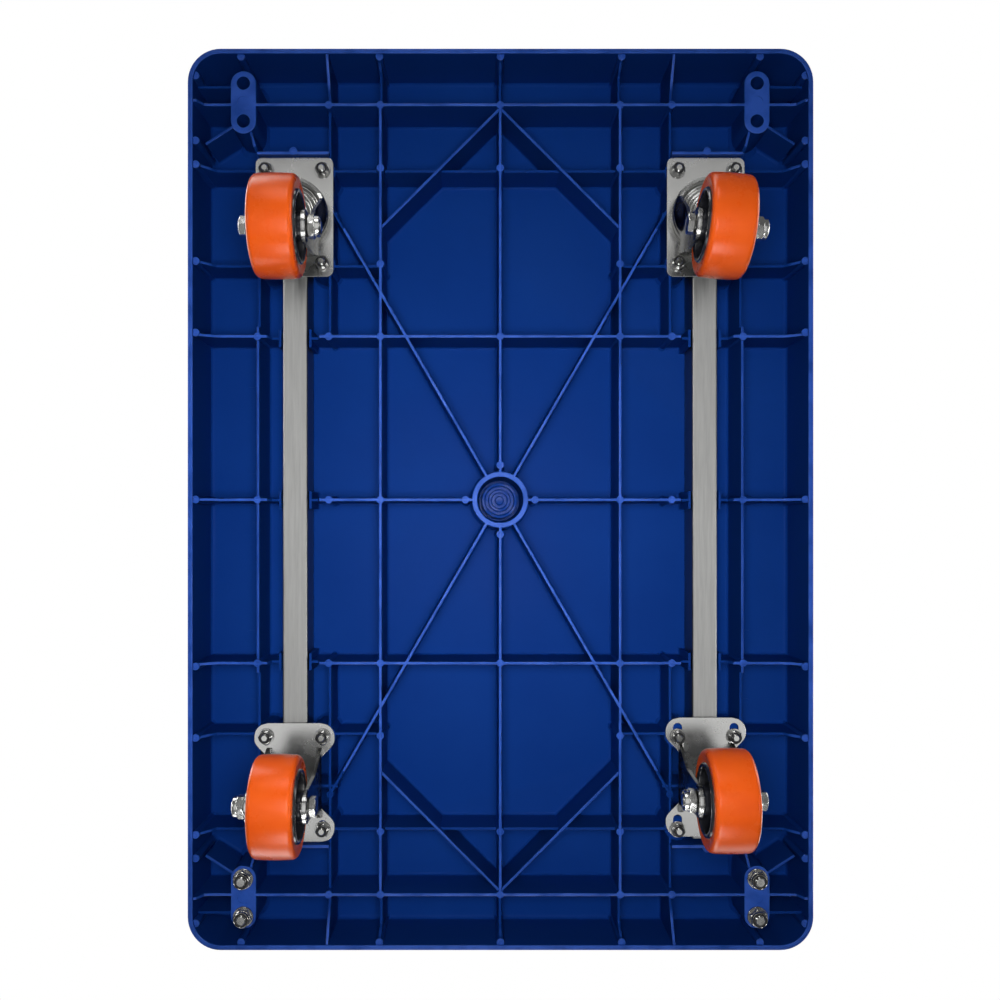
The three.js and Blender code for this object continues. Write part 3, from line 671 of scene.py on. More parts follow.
# %% Rib profile
def rib(start, end, crest):
    """A drafted rib from start to end. crest lists its free edge as (distance, z) points. Its half
    width grows evenly from the edge to the root, where a quarter circle of 2.6 leads into the plate."""
    start, end = np.asarray(start, float), np.asarray(end, float)
    length = np.linalg.norm(end - start)
    along = (end - start) / length
    across = np.array([along[1], -along[0]])
    turn = np.radians(np.linspace(0, 90, 5))
    fillet, root_half, edge_half = 2.6, 1.55, 1.15
    fillet_u = -(root_half + fillet) + fillet * np.sin(turn)
    fillet_z = CEILING_Z - fillet + fillet * np.cos(turn)
    sections = []
    for distance, edge_z in crest(length):
        u = np.concatenate([[fillet_u[0]], fillet_u, [-edge_half, -edge_half + 0.18, -edge_half + 0.55]])
        z = np.concatenate([[CEILING_Z + 1], fillet_z, [edge_z + 0.55, edge_z + 0.18, edge_z]])
        u, z = np.concatenate([u, -u[::-1]]), np.concatenate([z, z[::-1]])
        place = start + along * distance
        sections.append(np.column_stack([place[0] + across[0] * u, place[1] + across[1] * u, z]))
    return loft(sections)


print("points of one rib:", len(rib((0, 0), (0, 50), lambda length: [(0, RIB_Z), (length, RIB_Z)])[0]))

# %% [markdown]
# A rib's free edge is rarely level from end to end. It drops to the rim at the outer wall, and steps
# back at a caster plate or a rail. Each step could be cut away afterwards, but an edge given as a
# short list of heights needs no cutting.

# %% Free edges of the ribs
def level(z):
    """A free edge at one height."""
    return lambda length: [(0, z), (length, z)]


def from_wall(z, ramp=16):
    """A free edge that drops to the rim where the rib starts at the outer wall."""
    return lambda length: [(0, RIM_Z + 1.2), (4, RIM_Z + 1.6), (ramp, z - 0.6), (ramp + 3, z), (length, z)]


def from_wall_to_tab(z, tab, ramp=16):
    """The same, with a step to the tab's height in the last 9 mm."""
    return lambda length: [(0, RIM_Z + 1.2), (4, RIM_Z + 1.6), (ramp, z - 0.6), (ramp + 3, z), (length - 9,
                                                                                                z),
                           (length - 6.5, tab), (length, tab)]


def wall_to_wall(z, ramp=16):
    """A free edge that drops to the rim at both ends."""
    def crest(length):
        first = [(0, RIM_Z + 1.2), (4, RIM_Z + 1.6), (ramp, z - 0.6), (ramp + 3, z)]
        return first + [(length - distance, height) for distance, height in first[::-1]]
    return crest


def dipping(z, dip):
    """A free edge along the whole cart that dips by a few millimetres between each end wall and the rib
    across at END_Y."""
    def crest(length):
        gap = WALL_Y - END_Y
        first = [(0, RIM_Z + 1.2), (4, RIM_Z + 1.6), (12, z + dip - 1), (14, z + dip), (gap - 5, z + dip),
                 (gap - 2, z)]
        return first + [(length - distance, height) for distance, height in first[::-1]]
    return crest


def between_tabs(z, change, tab):
    """A free edge that steps to the tabs' height near both ends."""
    return lambda length: [(0, tab), (change - 2.5, tab), (change, z), (length - change, z),
                           (length - change + 2.5, tab), (length, tab)]


def stepped(z, change, last):
    """A free edge that steps to another height a little before its end."""
    return lambda length: [(0, z), (length - change, z), (length - change + 2.5, last), (length, last)]


print("a free edge from the wall:", from_wall(RIB_Z)(60))

# %% [markdown]
# Three ribs run the whole length of the deck, and pairs of shorter ones carry the caster plates. They
# could be one swept grid, but single ribs that overlap and are joined later can each have their own
# free edge.

# %% Long ribs
def long_ribs():
    """The ribs along the cart: three full ones, and the pairs that carry the caster plates."""
    ribs = [rib((x, -WALL_Y), (x, WALL_Y), dipping(RIB_Z, 8)) for x in (-SPINE_X, 0, SPINE_X)]
    for side in (-1, 1):
        x = side * OUTER_SEAT_X
        middle = CROSS_Y + 8
        ribs.append(rib((x, -middle), (x, middle), level(RIB_Z + 2.5)))
        for end in (-1, 1):
            ribs.append(rib((x, end * (middle - 1)), (x, end * RAIL_STOP_Y), level(SEAT_Z)))
    for side, end in QUARTERS:
        x = side * INNER_SEAT_X
        ribs.append(rib((x, end * WALL_Y), (x, end * CROSS_Y), from_wall(SEAT_Z, ramp=30)))
    return ribs


print("long ribs:", len(long_ribs()))

# %% [markdown]
# The ribs across the cart stop on each side of a rail in a small tab, which keeps the rail in line.
# Mirrored copies could be used, but one loop over the four quarters writes each rib once and places
# it four times.

# %% Cross ribs
def cross_ribs():
    """The ribs across the cart, which stop in a small tab on each side of a rail."""
    near, far = RAIL_X - CHANNEL / 2, RAIL_X + CHANNEL / 2
    ribs = []
    for y in (-CROSS_Y, 0, CROSS_Y):
        ribs.append(rib((-near + 1, y), (near - 1, y), between_tabs(RIB_Z, 9, TAB_Z)))
        for side in (-1, 1):
            ribs.append(rib((side * WALL_X, y), (side * (far + 1), y), from_wall_to_tab(RIB_Z, TAB_Z)))
            for x in (near - 1.4, far + 1.4):
                ribs.append(rib((side * x, y - 7), (side * x, y + 7), level(TAB_Z)))
    for end in (-1, 1):
        ribs.append(rib((-near + 1, end * SEAT_FAR_Y), (near - 1, end * SEAT_FAR_Y), level(SEAT_Z)))
        ribs.append(rib((-WALL_X, end * END_Y), (WALL_X, end * END_Y), wall_to_wall(RIB_Z, ramp=8)))
    for side, end in QUARTERS:
        far_y, near_y, stop = end * SEAT_FAR_Y, end * SEAT_NEAR_Y, end * RAIL_STOP_Y
        ribs.append(rib((side * WALL_X, far_y), (side * (far + 1), far_y), from_wall(SEAT_Z)))
        ribs.append(rib((side * WALL_X, near_y), (side * (far + 1), near_y), from_wall(SEAT_Z)))
        ribs.append(rib((side * (near - 1), near_y), (side * SPINE_X, near_y), level(SEAT_Z)))
        stop += end * 1.8
        ribs.append(rib((side * INNER_SEAT_X, stop), (side * OUTER_SEAT_X, stop), level(RIB_Z)))
    return ribs


print("cross ribs:", len(cross_ribs()))

# %% [markdown]
# Long rays tie the middle boss to the caster seats, and short braces stiffen the corners. They could
# be turned copies of a straight rib, but the rib function takes any start and end, so their ends are
# given.

# %% Slanting ribs
def slanting_ribs():
    """Long rays from the centre boss, short braces at the ends, and the corner braces."""
    ray_end = INNER_SEAT_X * math.tan(math.radians(60))
    ribs = []
    for side, end in QUARTERS:
        def at(x, y, side=side, end=end):
            return side * x, end * y
        ribs.append(rib(at(10.2, 17.7), at(INNER_SEAT_X, ray_end), stepped(RIB_Z, 24, SEAT_Z)))
        ribs.append(rib(at(0, 311), at(SPINE_X, 216), level(RIB_Z + 2)))
        ribs.append(rib(at(234, 283), at(BOSS_X + 4, 300), level(RIB_Z + 3)))
        ribs.append(rib(at(BOSS_X - 4, 298), at(OUTER_SEAT_X, RAIL_STOP_Y - 2), stepped(RIB_Z + 2, 10,
                                                                                        SEAT_Z)))
        ribs.append(rib(at(WALL_X, 329), at(BOSS_X + 6, 329), level(RIB_Z + 5)))
        ribs.append(rib(at(INNER_SEAT_X - 6, 229), at(INNER_SEAT_X + 15, 229), level(SEAT_Z + 1)))
    return ribs


print("slanting ribs:", len(slanting_ribs()))

# %% [markdown]
# Where ribs cross, ejector pins push the moulding out, and leave round posts with a shallow ring.
# They could be left out, but they are the dots that make the grid look moulded. All are one turned
# profile, moved to a list of crossings.

# %% Posts
def round_post(x, y, z, radius=3.1):
    """A round post with a softened edge and a shallow ring in its end face."""
    profile = [(1.3, z + 0.3), (1.7, z + 0.3), (1.9, z), (radius - 0.35, z), (radius, z + 0.35),
               (radius + 0.15, CEILING_Z - 2), (radius + 1.4, CEILING_Z - 0.3), (radius + 1.8, CEILING_Z + 1)]
    return moved(lathe(profile, 20), x, y)


def post_places():
    """Where the posts stand: rib crossings, and along the inside of the outer wall."""
    ray_end = INNER_SEAT_X * math.tan(math.radians(60))
    wall_x, wall_y, rim = WALL_X - 3.4, WALL_Y - 3.2, RIM_Z + 1.4
    places = []
    for side, end in QUARTERS:
        for x, y, z in [(SPINE_X, CROSS_Y, RIB_Z), (SPINE_X, SEAT_NEAR_Y, RIB_Z), (SPINE_X, SEAT_FAR_Y,
                                                                                   RIB_Z),
                        (SPINE_X, END_Y, RIB_Z), (INNER_SEAT_X, END_Y, RIB_Z), (INNER_SEAT_X, ray_end,
                                                                                SEAT_Z),
                        (INNER_SEAT_X, CROSS_Y, RIB_Z), (OUTER_SEAT_X, CROSS_Y, RIB_Z),
                        (RAIL_X, RAIL_STOP_Y + 3.5, RIB_Z), (wall_x, CROSS_Y + 1.5, rim), (wall_x,
                                                                                           SEAT_NEAR_Y, rim),
                        (wall_x, SEAT_FAR_Y, rim), (wall_x, 281.5, rim), (wall_x, 332.5, rim),
                        (SPINE_X, wall_y, rim), (BOSS_X, wall_y, rim)]:
            places.append((side * x, end * y, z))
    for end in (-1, 1):
        places += [(0, end * CROSS_Y, RIB_Z), (0, end * SEAT_FAR_Y, RIB_Z), (0, end * END_Y, RIB_Z),
                   (0, end * wall_y, rim), (end * SPINE_X, 0, RIB_Z), (end * INNER_SEAT_X, 0, RIB_Z),
                   (end * OUTER_SEAT_X, 0, RIB_Z), (end * wall_x, 0, rim), (0, end * 27.5, RIB_Z),
                   (end * 27.5, 0, RIB_Z)]
    return places


print("posts:", len(post_places()))

# %% [markdown]
# Bosses are the thick places that bolts go through: a round one under each caster bolt, a long one
# with two holes near each corner, and a stepped one in the middle. Cylinders could stand in, but a
# wider foot is what blends a real boss into the plate.

# %% Bosses
def bolt_places(side, end):
    """The four bolts of one caster."""
    centre = (np.array(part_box(f"swivel_plate_{'right' if side > 0 else 'left'}")).mean(0)) / MM
    return [(centre[0] + sx * BOLT_X, end * centre[1] + sy * BOLT_Y) for sx, sy in QUARTERS]


def bolt_boss(x, y):
    """A round boss under one caster bolt."""
    profile = [(4, SEAT_Z), (9.4, SEAT_Z), (10, SEAT_Z + 0.6), (10.4, CEILING_Z - 3), (13, CEILING_Z + 1)]
    return moved(lathe(profile, 28), x, y)


def handle_boss(side, end):
    """The long boss with two holes near a corner."""
    outline = slot_outline(20.2, 49.5, side * BOSS_X, end * BOSS_Y)
    centre = np.array([side * BOSS_X, end * BOSS_Y])
    levels = [(0.955, RIB_Z), (1.0, RIB_Z + 0.6), (1.04, CEILING_Z - 3), (1.3, CEILING_Z + 1)]
    rows = [np.column_stack([centre + (outline - centre) * scale, np.full(len(outline), z)])
            for scale, z in levels]
    return loft(rows)


def centre_boss():
    """The round boss in the middle: an outer ring, and stepped discs deep inside it."""
    ring = [(18.2, RIB_Z + 0.5), (18.7, RIB_Z), (21.8, RIB_Z), (22.3, RIB_Z + 0.5), (22.8, CEILING_Z - 3),
            (25.5, CEILING_Z + 1), (16, CEILING_Z + 1), (17.8, CEILING_Z - 2)]
    discs = [(1.0, 130.5), (2.8, 130.5), (3.4, 131.1), (3.7, 134), (6.1, 134), (6.4, 130.6), (7, 130), (8.5,
                                                                                                        130),
             (9.1, 130.6), (9.4, 134), (11.6, 134), (11.9, 129.6), (12.5, 129), (14, 129), (14.6, 129.6),
             (15, CEILING_Z + 1)]
    return [lathe(ring, 56, ring=True), lathe(discs, 48)]


print("bolt places of one caster:", bolt_places(1, 1))

# %% [markdown]
# The mould leaves faint discs on the ceiling, and low saddles keep each rail off it. Bump mapping
# could draw the discs, but a real step of a few tenths shows in every light.

# %% Marks and saddles
def ejector_marks():
    """Faint raised discs that the moulding tool leaves on the ceiling, two rows near the long walls."""
    profile = [(4.9, CEILING_Z - 0.4), (5.5, CEILING_Z - 0.3), (5.6, CEILING_Z + 1)]
    return [moved(lathe(profile, 28), side * 206, y) for side in (-1, 1) for y in (28, -23, -113, -170, 100)]


def rail_saddles():
    """Low ribs on the ceiling, on which the rails bear."""
    bottom = rail_high[2] + 0.3
    block = rounded_rectangle(CHANNEL + 3, 2.6, 0.4, 3)
    return [moved(prism(block, bottom, CEILING_Z + 1, 0.2), side * RAIL_X, y)
            for side in (-1, 1) for y in (-SEAT_FAR_Y, -SEAT_NEAR_Y, -CROSS_Y, 0, CROSS_Y, SEAT_NEAR_Y,
                                          SEAT_FAR_Y)]


print("marks and saddles:", len(ejector_marks()), len(rail_saddles()))

# %% [markdown]
# The shell is the top plate and the outer wall. A box with Solidify would give it one thickness
# everywhere. The real wall leans by its draft, has a rounded rim and a fillet inside, so one profile
# is carried round the deck's outline.

# %% Deck shell
def deck_shell():
    """The wall and top plate: a profile of (inset, z) points carried round the deck's outline. Each
    ring of points is the outline drawn smaller by its inset, with its corner radius reduced to match."""
    profile = [(6.5, DECK_TOP_Z), (4.4, DECK_TOP_Z - 0.15), (2.9, DECK_TOP_Z - 0.9), (1.9, DECK_TOP_Z - 2.2),
               (1.5, DECK_TOP_Z - 4.4), (0.15, RIM_Z + 3), (0, RIM_Z + 0.9), (0.25, RIM_Z + 0.25),
               (0.9, RIM_Z), (3.2, RIM_Z), (3.8, RIM_Z + 0.25), (4.05, RIM_Z + 0.9), (5.1, CEILING_Z - 3.4),
               (5.5, CEILING_Z - 1.7), (6.6, CEILING_Z - 0.5), (8.6, CEILING_Z)]
    rows = []
    for inset, z in profile:
        outline = rounded_rectangle(DECK_WIDTH - 2 * inset, DECK_LENGTH - 2 * inset, DECK_CORNER - inset, 13)
        rows.append(np.column_stack([outline, np.full(len(outline), z)]))
    return loft(rows)


print("points of the shell:", len(deck_shell()[0]))

# %% [markdown]
# Low domes on the top face keep a load from sliding. An Array modifier could set them out, but it
# can't leave room round the bolts, and here a distance test does. Each dome has few faces, because
# there are hundreds.

# %% Grip studs
def grip_studs():
    """The anti-slip studs of the top face: low domes in staggered rows."""
    x, y = np.meshgrid(np.arange(-204, 205, 24.0), np.arange(-264, 325, 12.0))
    x = x + 12 * ((np.arange(x.shape[0]) % 2)[:, None])
    places = np.column_stack([x.ravel(), y.ravel()])
    places = places[np.abs(places[:, 0]) < 222]
    bolts = np.array([place for side, end in QUARTERS for place in bolt_places(side, end)])
    clear = np.linalg.norm(places[:, None] - bolts[None], axis=2).min(1) > 15
    dome, faces = lathe([(5.0, DECK_TOP_Z - 0.4), (5.0, DECK_TOP_Z), (4.4, DECK_TOP_Z + 0.4),
                         (3.2, DECK_TOP_Z + 0.65), (1.2, DECK_TOP_Z + 0.75)], 14)
    return together(*[moved((dome, faces), px, py) for px, py in places[clear]])


print("points of the studs:", len(grip_studs()[0]))

# %% [markdown]
# Bolts pass through the bosses and their heads sit sunk in the top. At the front the two long bosses
# have blind holes, which a second handle would use. Each hole is a turned tool that is taken out of
# the deck.

# %% Holes in the deck
def hole(radius, x, y, z0, z1, steps=28):
    """A round tool for a hole."""
    return moved(lathe([(radius, z0), (radius, z1)], steps), x, y)


def deck_holes():
    """Bolt holes with their sunk seats in the top, the handle bolts' holes, and the blind holes."""
    tools = []
    for side, end in QUARTERS:
        for x, y in bolt_places(side, end):
            tools.append(hole(3.4, x, y, SEAT_Z - 1, DECK_TOP_Z - 3))
            tools.append(hole(7.2, x, y, DECK_TOP_Z - 3.8, DECK_TOP_Z + 1))
        for step in (-15, 15):
            x, y = side * BOSS_X, end * BOSS_Y + step
            if end < 0:
                tools.append(hole(4.5, x, y, RIB_Z - 1, DECK_TOP_Z + 1))
            else:
                tools.append(hole(5.25, x, y, RIB_Z - 1, RIB_Z + 30))
        tools.append(hole(4.8, side * BOSS_X, end * BOSS_Y, RIB_Z - 1, RIB_Z + 0.35))
    return tools


print("holes:", len(deck_holes()))

# %% [markdown]
# The deck is joined from all its forms and then drilled, in the order that its mould is made.
# Overlapping pieces could be left unjoined, but then hidden faces would stay inside and catch light.
# The middle is cleared first, because ribs must not cross the boss.

# %% Make the deck
ribs = long_ribs() + cross_ribs() + slanting_ribs()
body = cut(join(deck_shell(), *ribs), hole(18.6, 0, 0, RIM_Z, CEILING_Z - 0.05, 48))
added = rail_saddles() + ejector_marks() + centre_boss() + [round_post(*place) for place in post_places()]
added += [bolt_boss(x, y) for side, end in QUARTERS for x, y in bolt_places(side, end)]
added += [handle_boss(side, end) for side, end in QUARTERS] + [grip_studs()]
deck_form = cut(join(body, *added), *deck_holes())
deck = piece("deck_moulding", deck_form, deck_blue, "deck", ["deck"], sharp=32)
print("deck points:", len(deck.data.vertices), "faces:", len(deck.data.polygons))

# %% [markdown]
# ## Laying forms down
# Rails lie along the cart, and sheet sides stand across it. Forms could be turned by angles, but swapping
# two axes is exact, and leaves no rounding in a flat face.

# %% Forms along X and Y
def sheet_x(outline, x0, x1, bevel=0.4):
    """An outline of (y, z) points as a plate standing across X."""
    return along_x(prism(outline, x0, x1, bevel))


def along_y(form):
    """The form with its Z axis laid along Y: (x, y, z) goes to (x, z, y)."""
    points, faces = form
    return points[:, [0, 2, 1]], [face[::-1] for face in faces]


def middle(node):
    """The middle of a node's box, in millimetres."""
    return np.array(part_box(node)).mean(0) / MM


print("middle of a rail:", middle("rail_right"))

# %% [markdown]
# Each rail is a drawn rectangular tube with round corners, open at both ends. It could be a box with
# bevelled edges, but then its open ends would be blind, so a smaller bar is cut out of a larger one.

# %% Rails
SIDES = {"left": -1, "right": 1}
rail_size = rail_high - rail_low
half_rail = rail_size[1] / 2
rail_bar = cut(prism(rounded_rectangle(rail_size[0] + 1, rail_size[2], 1.6, 7), -half_rail, half_rail, 0.3),
               prism(rounded_rectangle(rail_size[0] - 3, rail_size[2] - 3, 1, 5), -300, 300, 0.1))
for side_name in SIDES:
    piece(f"rail_{side_name}_tube", moved(along_y(rail_bar), *middle(f"rail_{side_name}")), rail_steel,
          "deck",
          [f"rail_{side_name}"])
print("rail tube:", rail_size)

# %% [markdown]
# ## Wheels
# The tyre is cast polyurethane: crowned tread, round shoulders, and a bevelled wall down to the hub. A torus
# or a bevelled cylinder comes near, but a turned profile is how its mould is cut, and gives the crown.

# %% Tyre
AXLE_Z = 37.5


def tyre_form():
    """Tread radius r = 37.1 + 0.4 (1 - (h / 12.2)^2), with an elliptic shoulder down to the wall."""
    turn = np.radians(np.linspace(-90, 0, 9))
    shoulder = np.column_stack([33.4 + 3.7 * np.cos(turn), -12.2 + 4.1 * np.sin(turn)])
    h = np.linspace(-11, 11, 13)
    tread = np.column_stack([37.1 + 0.4 * (1 - (h / 12.2) ** 2), h])
    wall = np.array([(27.0, -14.9), (27.3, -15.5), (28.2, -15.7), (28.9, -15.5), (29.5, -15.7), (32.4,
                                                                                                 -16.35)])
    half = np.concatenate([wall, shoulder])
    return lathe(np.concatenate([half, tread, half[::-1] * [1, -1]]), 112, ring=True)


print("points of a tyre:", len(tyre_form()[0]))

# %% [markdown]
# The hub is black nylon: a rim under the tyre, a web, and a boss round the axle, with five spokes.
# The spokes could be cut out of a solid disc, but joined-on plates show their real draft and leave
# the web whole.

# %% Hub
def hub_form():
    """Rim, web and boss as one turned profile, with five spokes joined to it on both sides."""
    half = [(5.3, -17.7), (5.8, -18.1), (9.6, -18.1), (10.3, -17.4), (11, -9), (12, -5.4), (14.2, -4),
            (20.8, -4), (22.6, -5.2), (23.2, -15.4), (23.8, -16.7), (24.4, -17.1), (26.0, -17.1), (26.7,
                                                                                                   -16.4)]
    body = lathe(half + [(r, -h) for r, h in half[::-1]], 72, ring=True)
    spoke = prism([(8.5, -1.6), (24, -1.3), (24, 1.3), (8.5, 1.6)], -11.5, 11.5, 0.6)
    spokes = [turned_z(spoke, math.radians(18 + 72 * k)) for k in range(5)]
    return cut(join(body, *spokes), hole(5.3, 0, 0, -20, 20, 40))


tyre, hub = along_x(tyre_form()), along_x(hub_form())
print("points of a hub:", len(hub[0]))

# %% [markdown]
# ## Nuts and bolts
# A hexagon's corners are turned away by a chamfer, so its radius is the smaller of the hexagon and a
# cone. It could be a six-sided cylinder with a bevel, but then the chamfer's round edge on each flat, which
# catches the light, would be missing.

# %% Hexagons
def hexagon(across, z0, z1, steps=48):
    """r = min(f / cos a, 0.93 f + 1.7 d): f is half the width across flats, a the angle from the nearest
    flat's middle, and d the distance from the end face."""
    flat = across / 2
    angle = np.linspace(0, 2 * np.pi, steps, endpoint=False)
    side = flat / np.cos((angle + np.pi / 6) % (np.pi / 3) - np.pi / 6)
    rows = []
    for depth in (0, 0.25, 0.55, 0.9, 1.3):
        rows.append((z0 + depth, np.minimum(side, 0.93 * flat + 1.7 * depth)))
    rows += [(z1 - (z - z0), radius) for z, radius in rows[::-1]]
    return loft([np.column_stack([r * np.cos(angle), r * np.sin(angle), np.full(steps, z)]) for z, r in rows])


print("points of a hexagon:", len(hexagon(10, 0, 5)[0]))

# %% [markdown]
# The visible ends of bolts carry a real helix. A displacement texture could fake it, but the end
# stands free against the deck, where its outline shows. The radius is a function of height and angle,
# so the helix is one grid.

# %% Thread
def thread(radius, pitch, z0, z1, steps=24):
    """r = radius - 0.55 pitch |2 f - 1|, with f the fraction of h / pitch - a / 2 pi. The end at z0 has a
    chamfer."""
    height = np.linspace(z0, z1, int((z1 - z0) / pitch * 6) + 2)[:, None]
    angle = np.linspace(0, 2 * np.pi, steps, endpoint=False)[None, :]
    phase = (height / pitch - angle / (2 * np.pi)) % 1
    r = np.minimum(radius - 0.55 * pitch * np.abs(2 * phase - 1), radius - 0.9 + (height - z0))
    return loft(np.stack([r * np.cos(angle), r * np.sin(angle), height + 0 * angle], -1))


print("points of a thread:", len(thread(3, 1, 0, 10)[0]))

# %% [markdown]
# A lock nut has a round collar above its hexagon, and the collar holds a black nylon ring that grips
# the thread. It could be one form, but the ring has its own finish, so it is a form of its own.

# %% Lock nuts
def flipped(form, z):
    """The form turned upside down, with its old z = 0 at the given height."""
    points, faces = form
    return points * [1, 1, -1] + [0, 0, z], [face[::-1] for face in faces]


def lock_nut(across, height, bore):
    """A lock nut standing on z = 0: hexagon below, collar with a rolled lip above."""
    f = across / 2
    collar = [(bore + 0.4, 0.4 * height), (0.93 * f, 0.4 * height), (0.96 * f, 0.66 * height),
              (0.96 * f, 0.88 * height), (0.93 * f, 0.97 * height), (0.88 * f, height), (0.84 * f,
                                                                                         0.97 * height),
              (0.83 * f, 0.8 * height),
              (bore + 0.4, 0.8 * height)]
    return cut(join(hexagon(across, 0, 0.66 * height), lathe(collar, 48, ring=True)),
               hole(bore, 0, 0, -1, height + 1, 36))


def nylon_ring(across, height, bore):
    """The ring pressed into a lock nut's collar."""
    f = across / 2
    return lathe([(bore, 0.81 * height), (0.82 * f, 0.81 * height), (0.82 * f, 0.88 * height),
                  (0.78 * f, 0.91 * height), (bore + 0.25, 0.91 * height), (bore, 0.88 * height)], 40,
                  ring=True)


nut_m6, nylon_m6 = lock_nut(10, 5.6, 3.05), nylon_ring(10, 5.6, 3.05)
nut_m8, nylon_m8 = lock_nut(13, 7.4, 4.05), nylon_ring(13, 7.4, 4.05)
nut_m10, nylon_m10 = lock_nut(16, 9, 5.05), nylon_ring(16, 9, 5.05)
print("nut points:", len(nut_m6[0]), len(nut_m8[0]), len(nut_m10[0]))

# %% [markdown]
# ## Caster bolts and handle bolts
# Button heads sit sunk in the deck's top, and lock nuts hold the caster plates from below. Every bolt is
# screwed in to its own angle, so no two nuts point the same way.

# %% Heads, washers and turns
screw_turns = np.random.default_rng(7).uniform(0, np.pi / 3, 24)
button = cut(lathe([(3.1, 0), (6.3, 0), (6.5, 0.2), (6.4, 0.6), (5.6, 1.7), (4.2, 2.5), (2.2, 2.92), (0.5,
                                                                                                      3.0)],
                                                                                                      40),
             moved(hexagon(4, 0, 4, 24), 0, 0, 1.2))
small_washer = lathe([(3.2, 106.2), (6.2, 106.15), (6.4, 106.35), (6.4, 106.9), (6.2, 107.1), (3.2, 107.1)],
                     40,
                     ring=True)
print("points of a button head:", len(button[0]))

# %% [markdown]
# Sixteen bolts hold the casters, and four go down from the handle's hinges. Copies of one object
# could share a mesh, but each node of the skeleton wants its own piece. The nut seats are a little
# under the plates.

# %% Put the bolts in
CASTER_NUT_Z, HANDLE_NUT_Z = 106.1, 100.3
index = 0
for side, side_name in ((-1, "left"), (1, "right")):
    for end, end_name in ((-1, "rear"), (1, "front")):
        for count, (x, y) in enumerate(bolt_places(side, end), 1):
            node = f"caster_bolt_{end_name}_{side_name}_{count}"
            low, high = (np.array(corner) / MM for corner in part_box(node))
            shank = lathe([(3, 108), (3, high[2] - 3)], 24)
            bolt = together(moved(button, z=high[2] - 3), shank, thread(3, 1, low[2], 108.0), small_washer,
                            flipped(nut_m6, CASTER_NUT_Z))
            ring = flipped(nylon_m6, CASTER_NUT_Z)
            turn = screw_turns[index]
            place = (low + high) / 2
            piece(f"{node}_set", moved(turned_z(bolt, turn), place[0], place[1]), screw_steel, "deck", [node],
                  weighted=False)
            piece(f"{node}_nylon", moved(ring, place[0], place[1]), nylon_insert, "deck", weighted=False)
            index += 1
    for count in (1, 2):
        node = f"handle_bolt_{side_name}_{count}"
        low, high = (np.array(corner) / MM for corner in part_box(node))
        washer = lathe([(4.3, 100.4), (7.8, 100.3), (8, 100.5), (8, 101.5), (7.8, 101.7), (4.3, 101.7)], 44,
                       ring=True)
        bolt = together(hexagon(13, high[2] - 5.3, high[2]), lathe([(4, 101.9), (4, high[2] - 5.3)], 28),
                        washer,
                        thread(4, 1.25, low[2], 101.9, 28), flipped(nut_m8, HANDLE_NUT_Z))
        turn = screw_turns[index]
        x, y = ((low + high) / 2)[:2]
        piece(f"{node}_set", moved(turned_z(bolt, turn), x, y), screw_steel, "deck", [node],
              weighted=False)
        piece(f"{node}_nylon", moved(flipped(nylon_m8, HANDLE_NUT_Z), x, y), nylon_insert, "deck",
              weighted=False)
        index += 1


print("bolts:", index)

# %% [markdown]
# ## Casters
# Forks and brackets are pressed from 2.5 mm sheet. Seen from the side, a leg narrows in an S-curve to a
# round eye for the axle. Straight edges would be simpler, but the S-curve is what a pressed leg has.

# %% Side view of a leg
def leg_outline(axle_y, front, back, top, eye=12.5, axle_z=AXLE_Z):
    """Side view of a leg as (y, z) points: y goes from the top's width to the eye by 0.3 t + 0.7 s, with
    s = u^2 (3 - 2 u) and u = min(1, 1.7 t), so most of the narrowing is near the top."""
    t = np.linspace(0, 1, 18)
    u = np.minimum(1, 1.7 * t)
    ease = 0.3 * t + 0.7 * u * u * (3 - 2 * u)
    eye_z = axle_z + eye * math.sin(math.radians(18))
    reach = eye * math.cos(math.radians(18))
    z = top + (eye_z - top) * t
    front_edge = np.column_stack([front + (axle_y + reach - front) * ease, z])
    back_edge = np.column_stack([back + (axle_y - reach - back) * ease, z])
    return np.concatenate([front_edge[:-1], arc(axle_y, axle_z, eye, 18, -198, 30), back_edge[::-1][1:]])


print("points of a leg's outline:", len(leg_outline(0, 29, -29, 110)))

# %% [markdown]
# The sheet runs level under the deck and bends down into each leg. On the fork its upper part also
# swells out to the round crown. It could be two plates set at a right angle, but then the bend's
# round edge would be missing, so a bent strip is cut to the leg's side view.

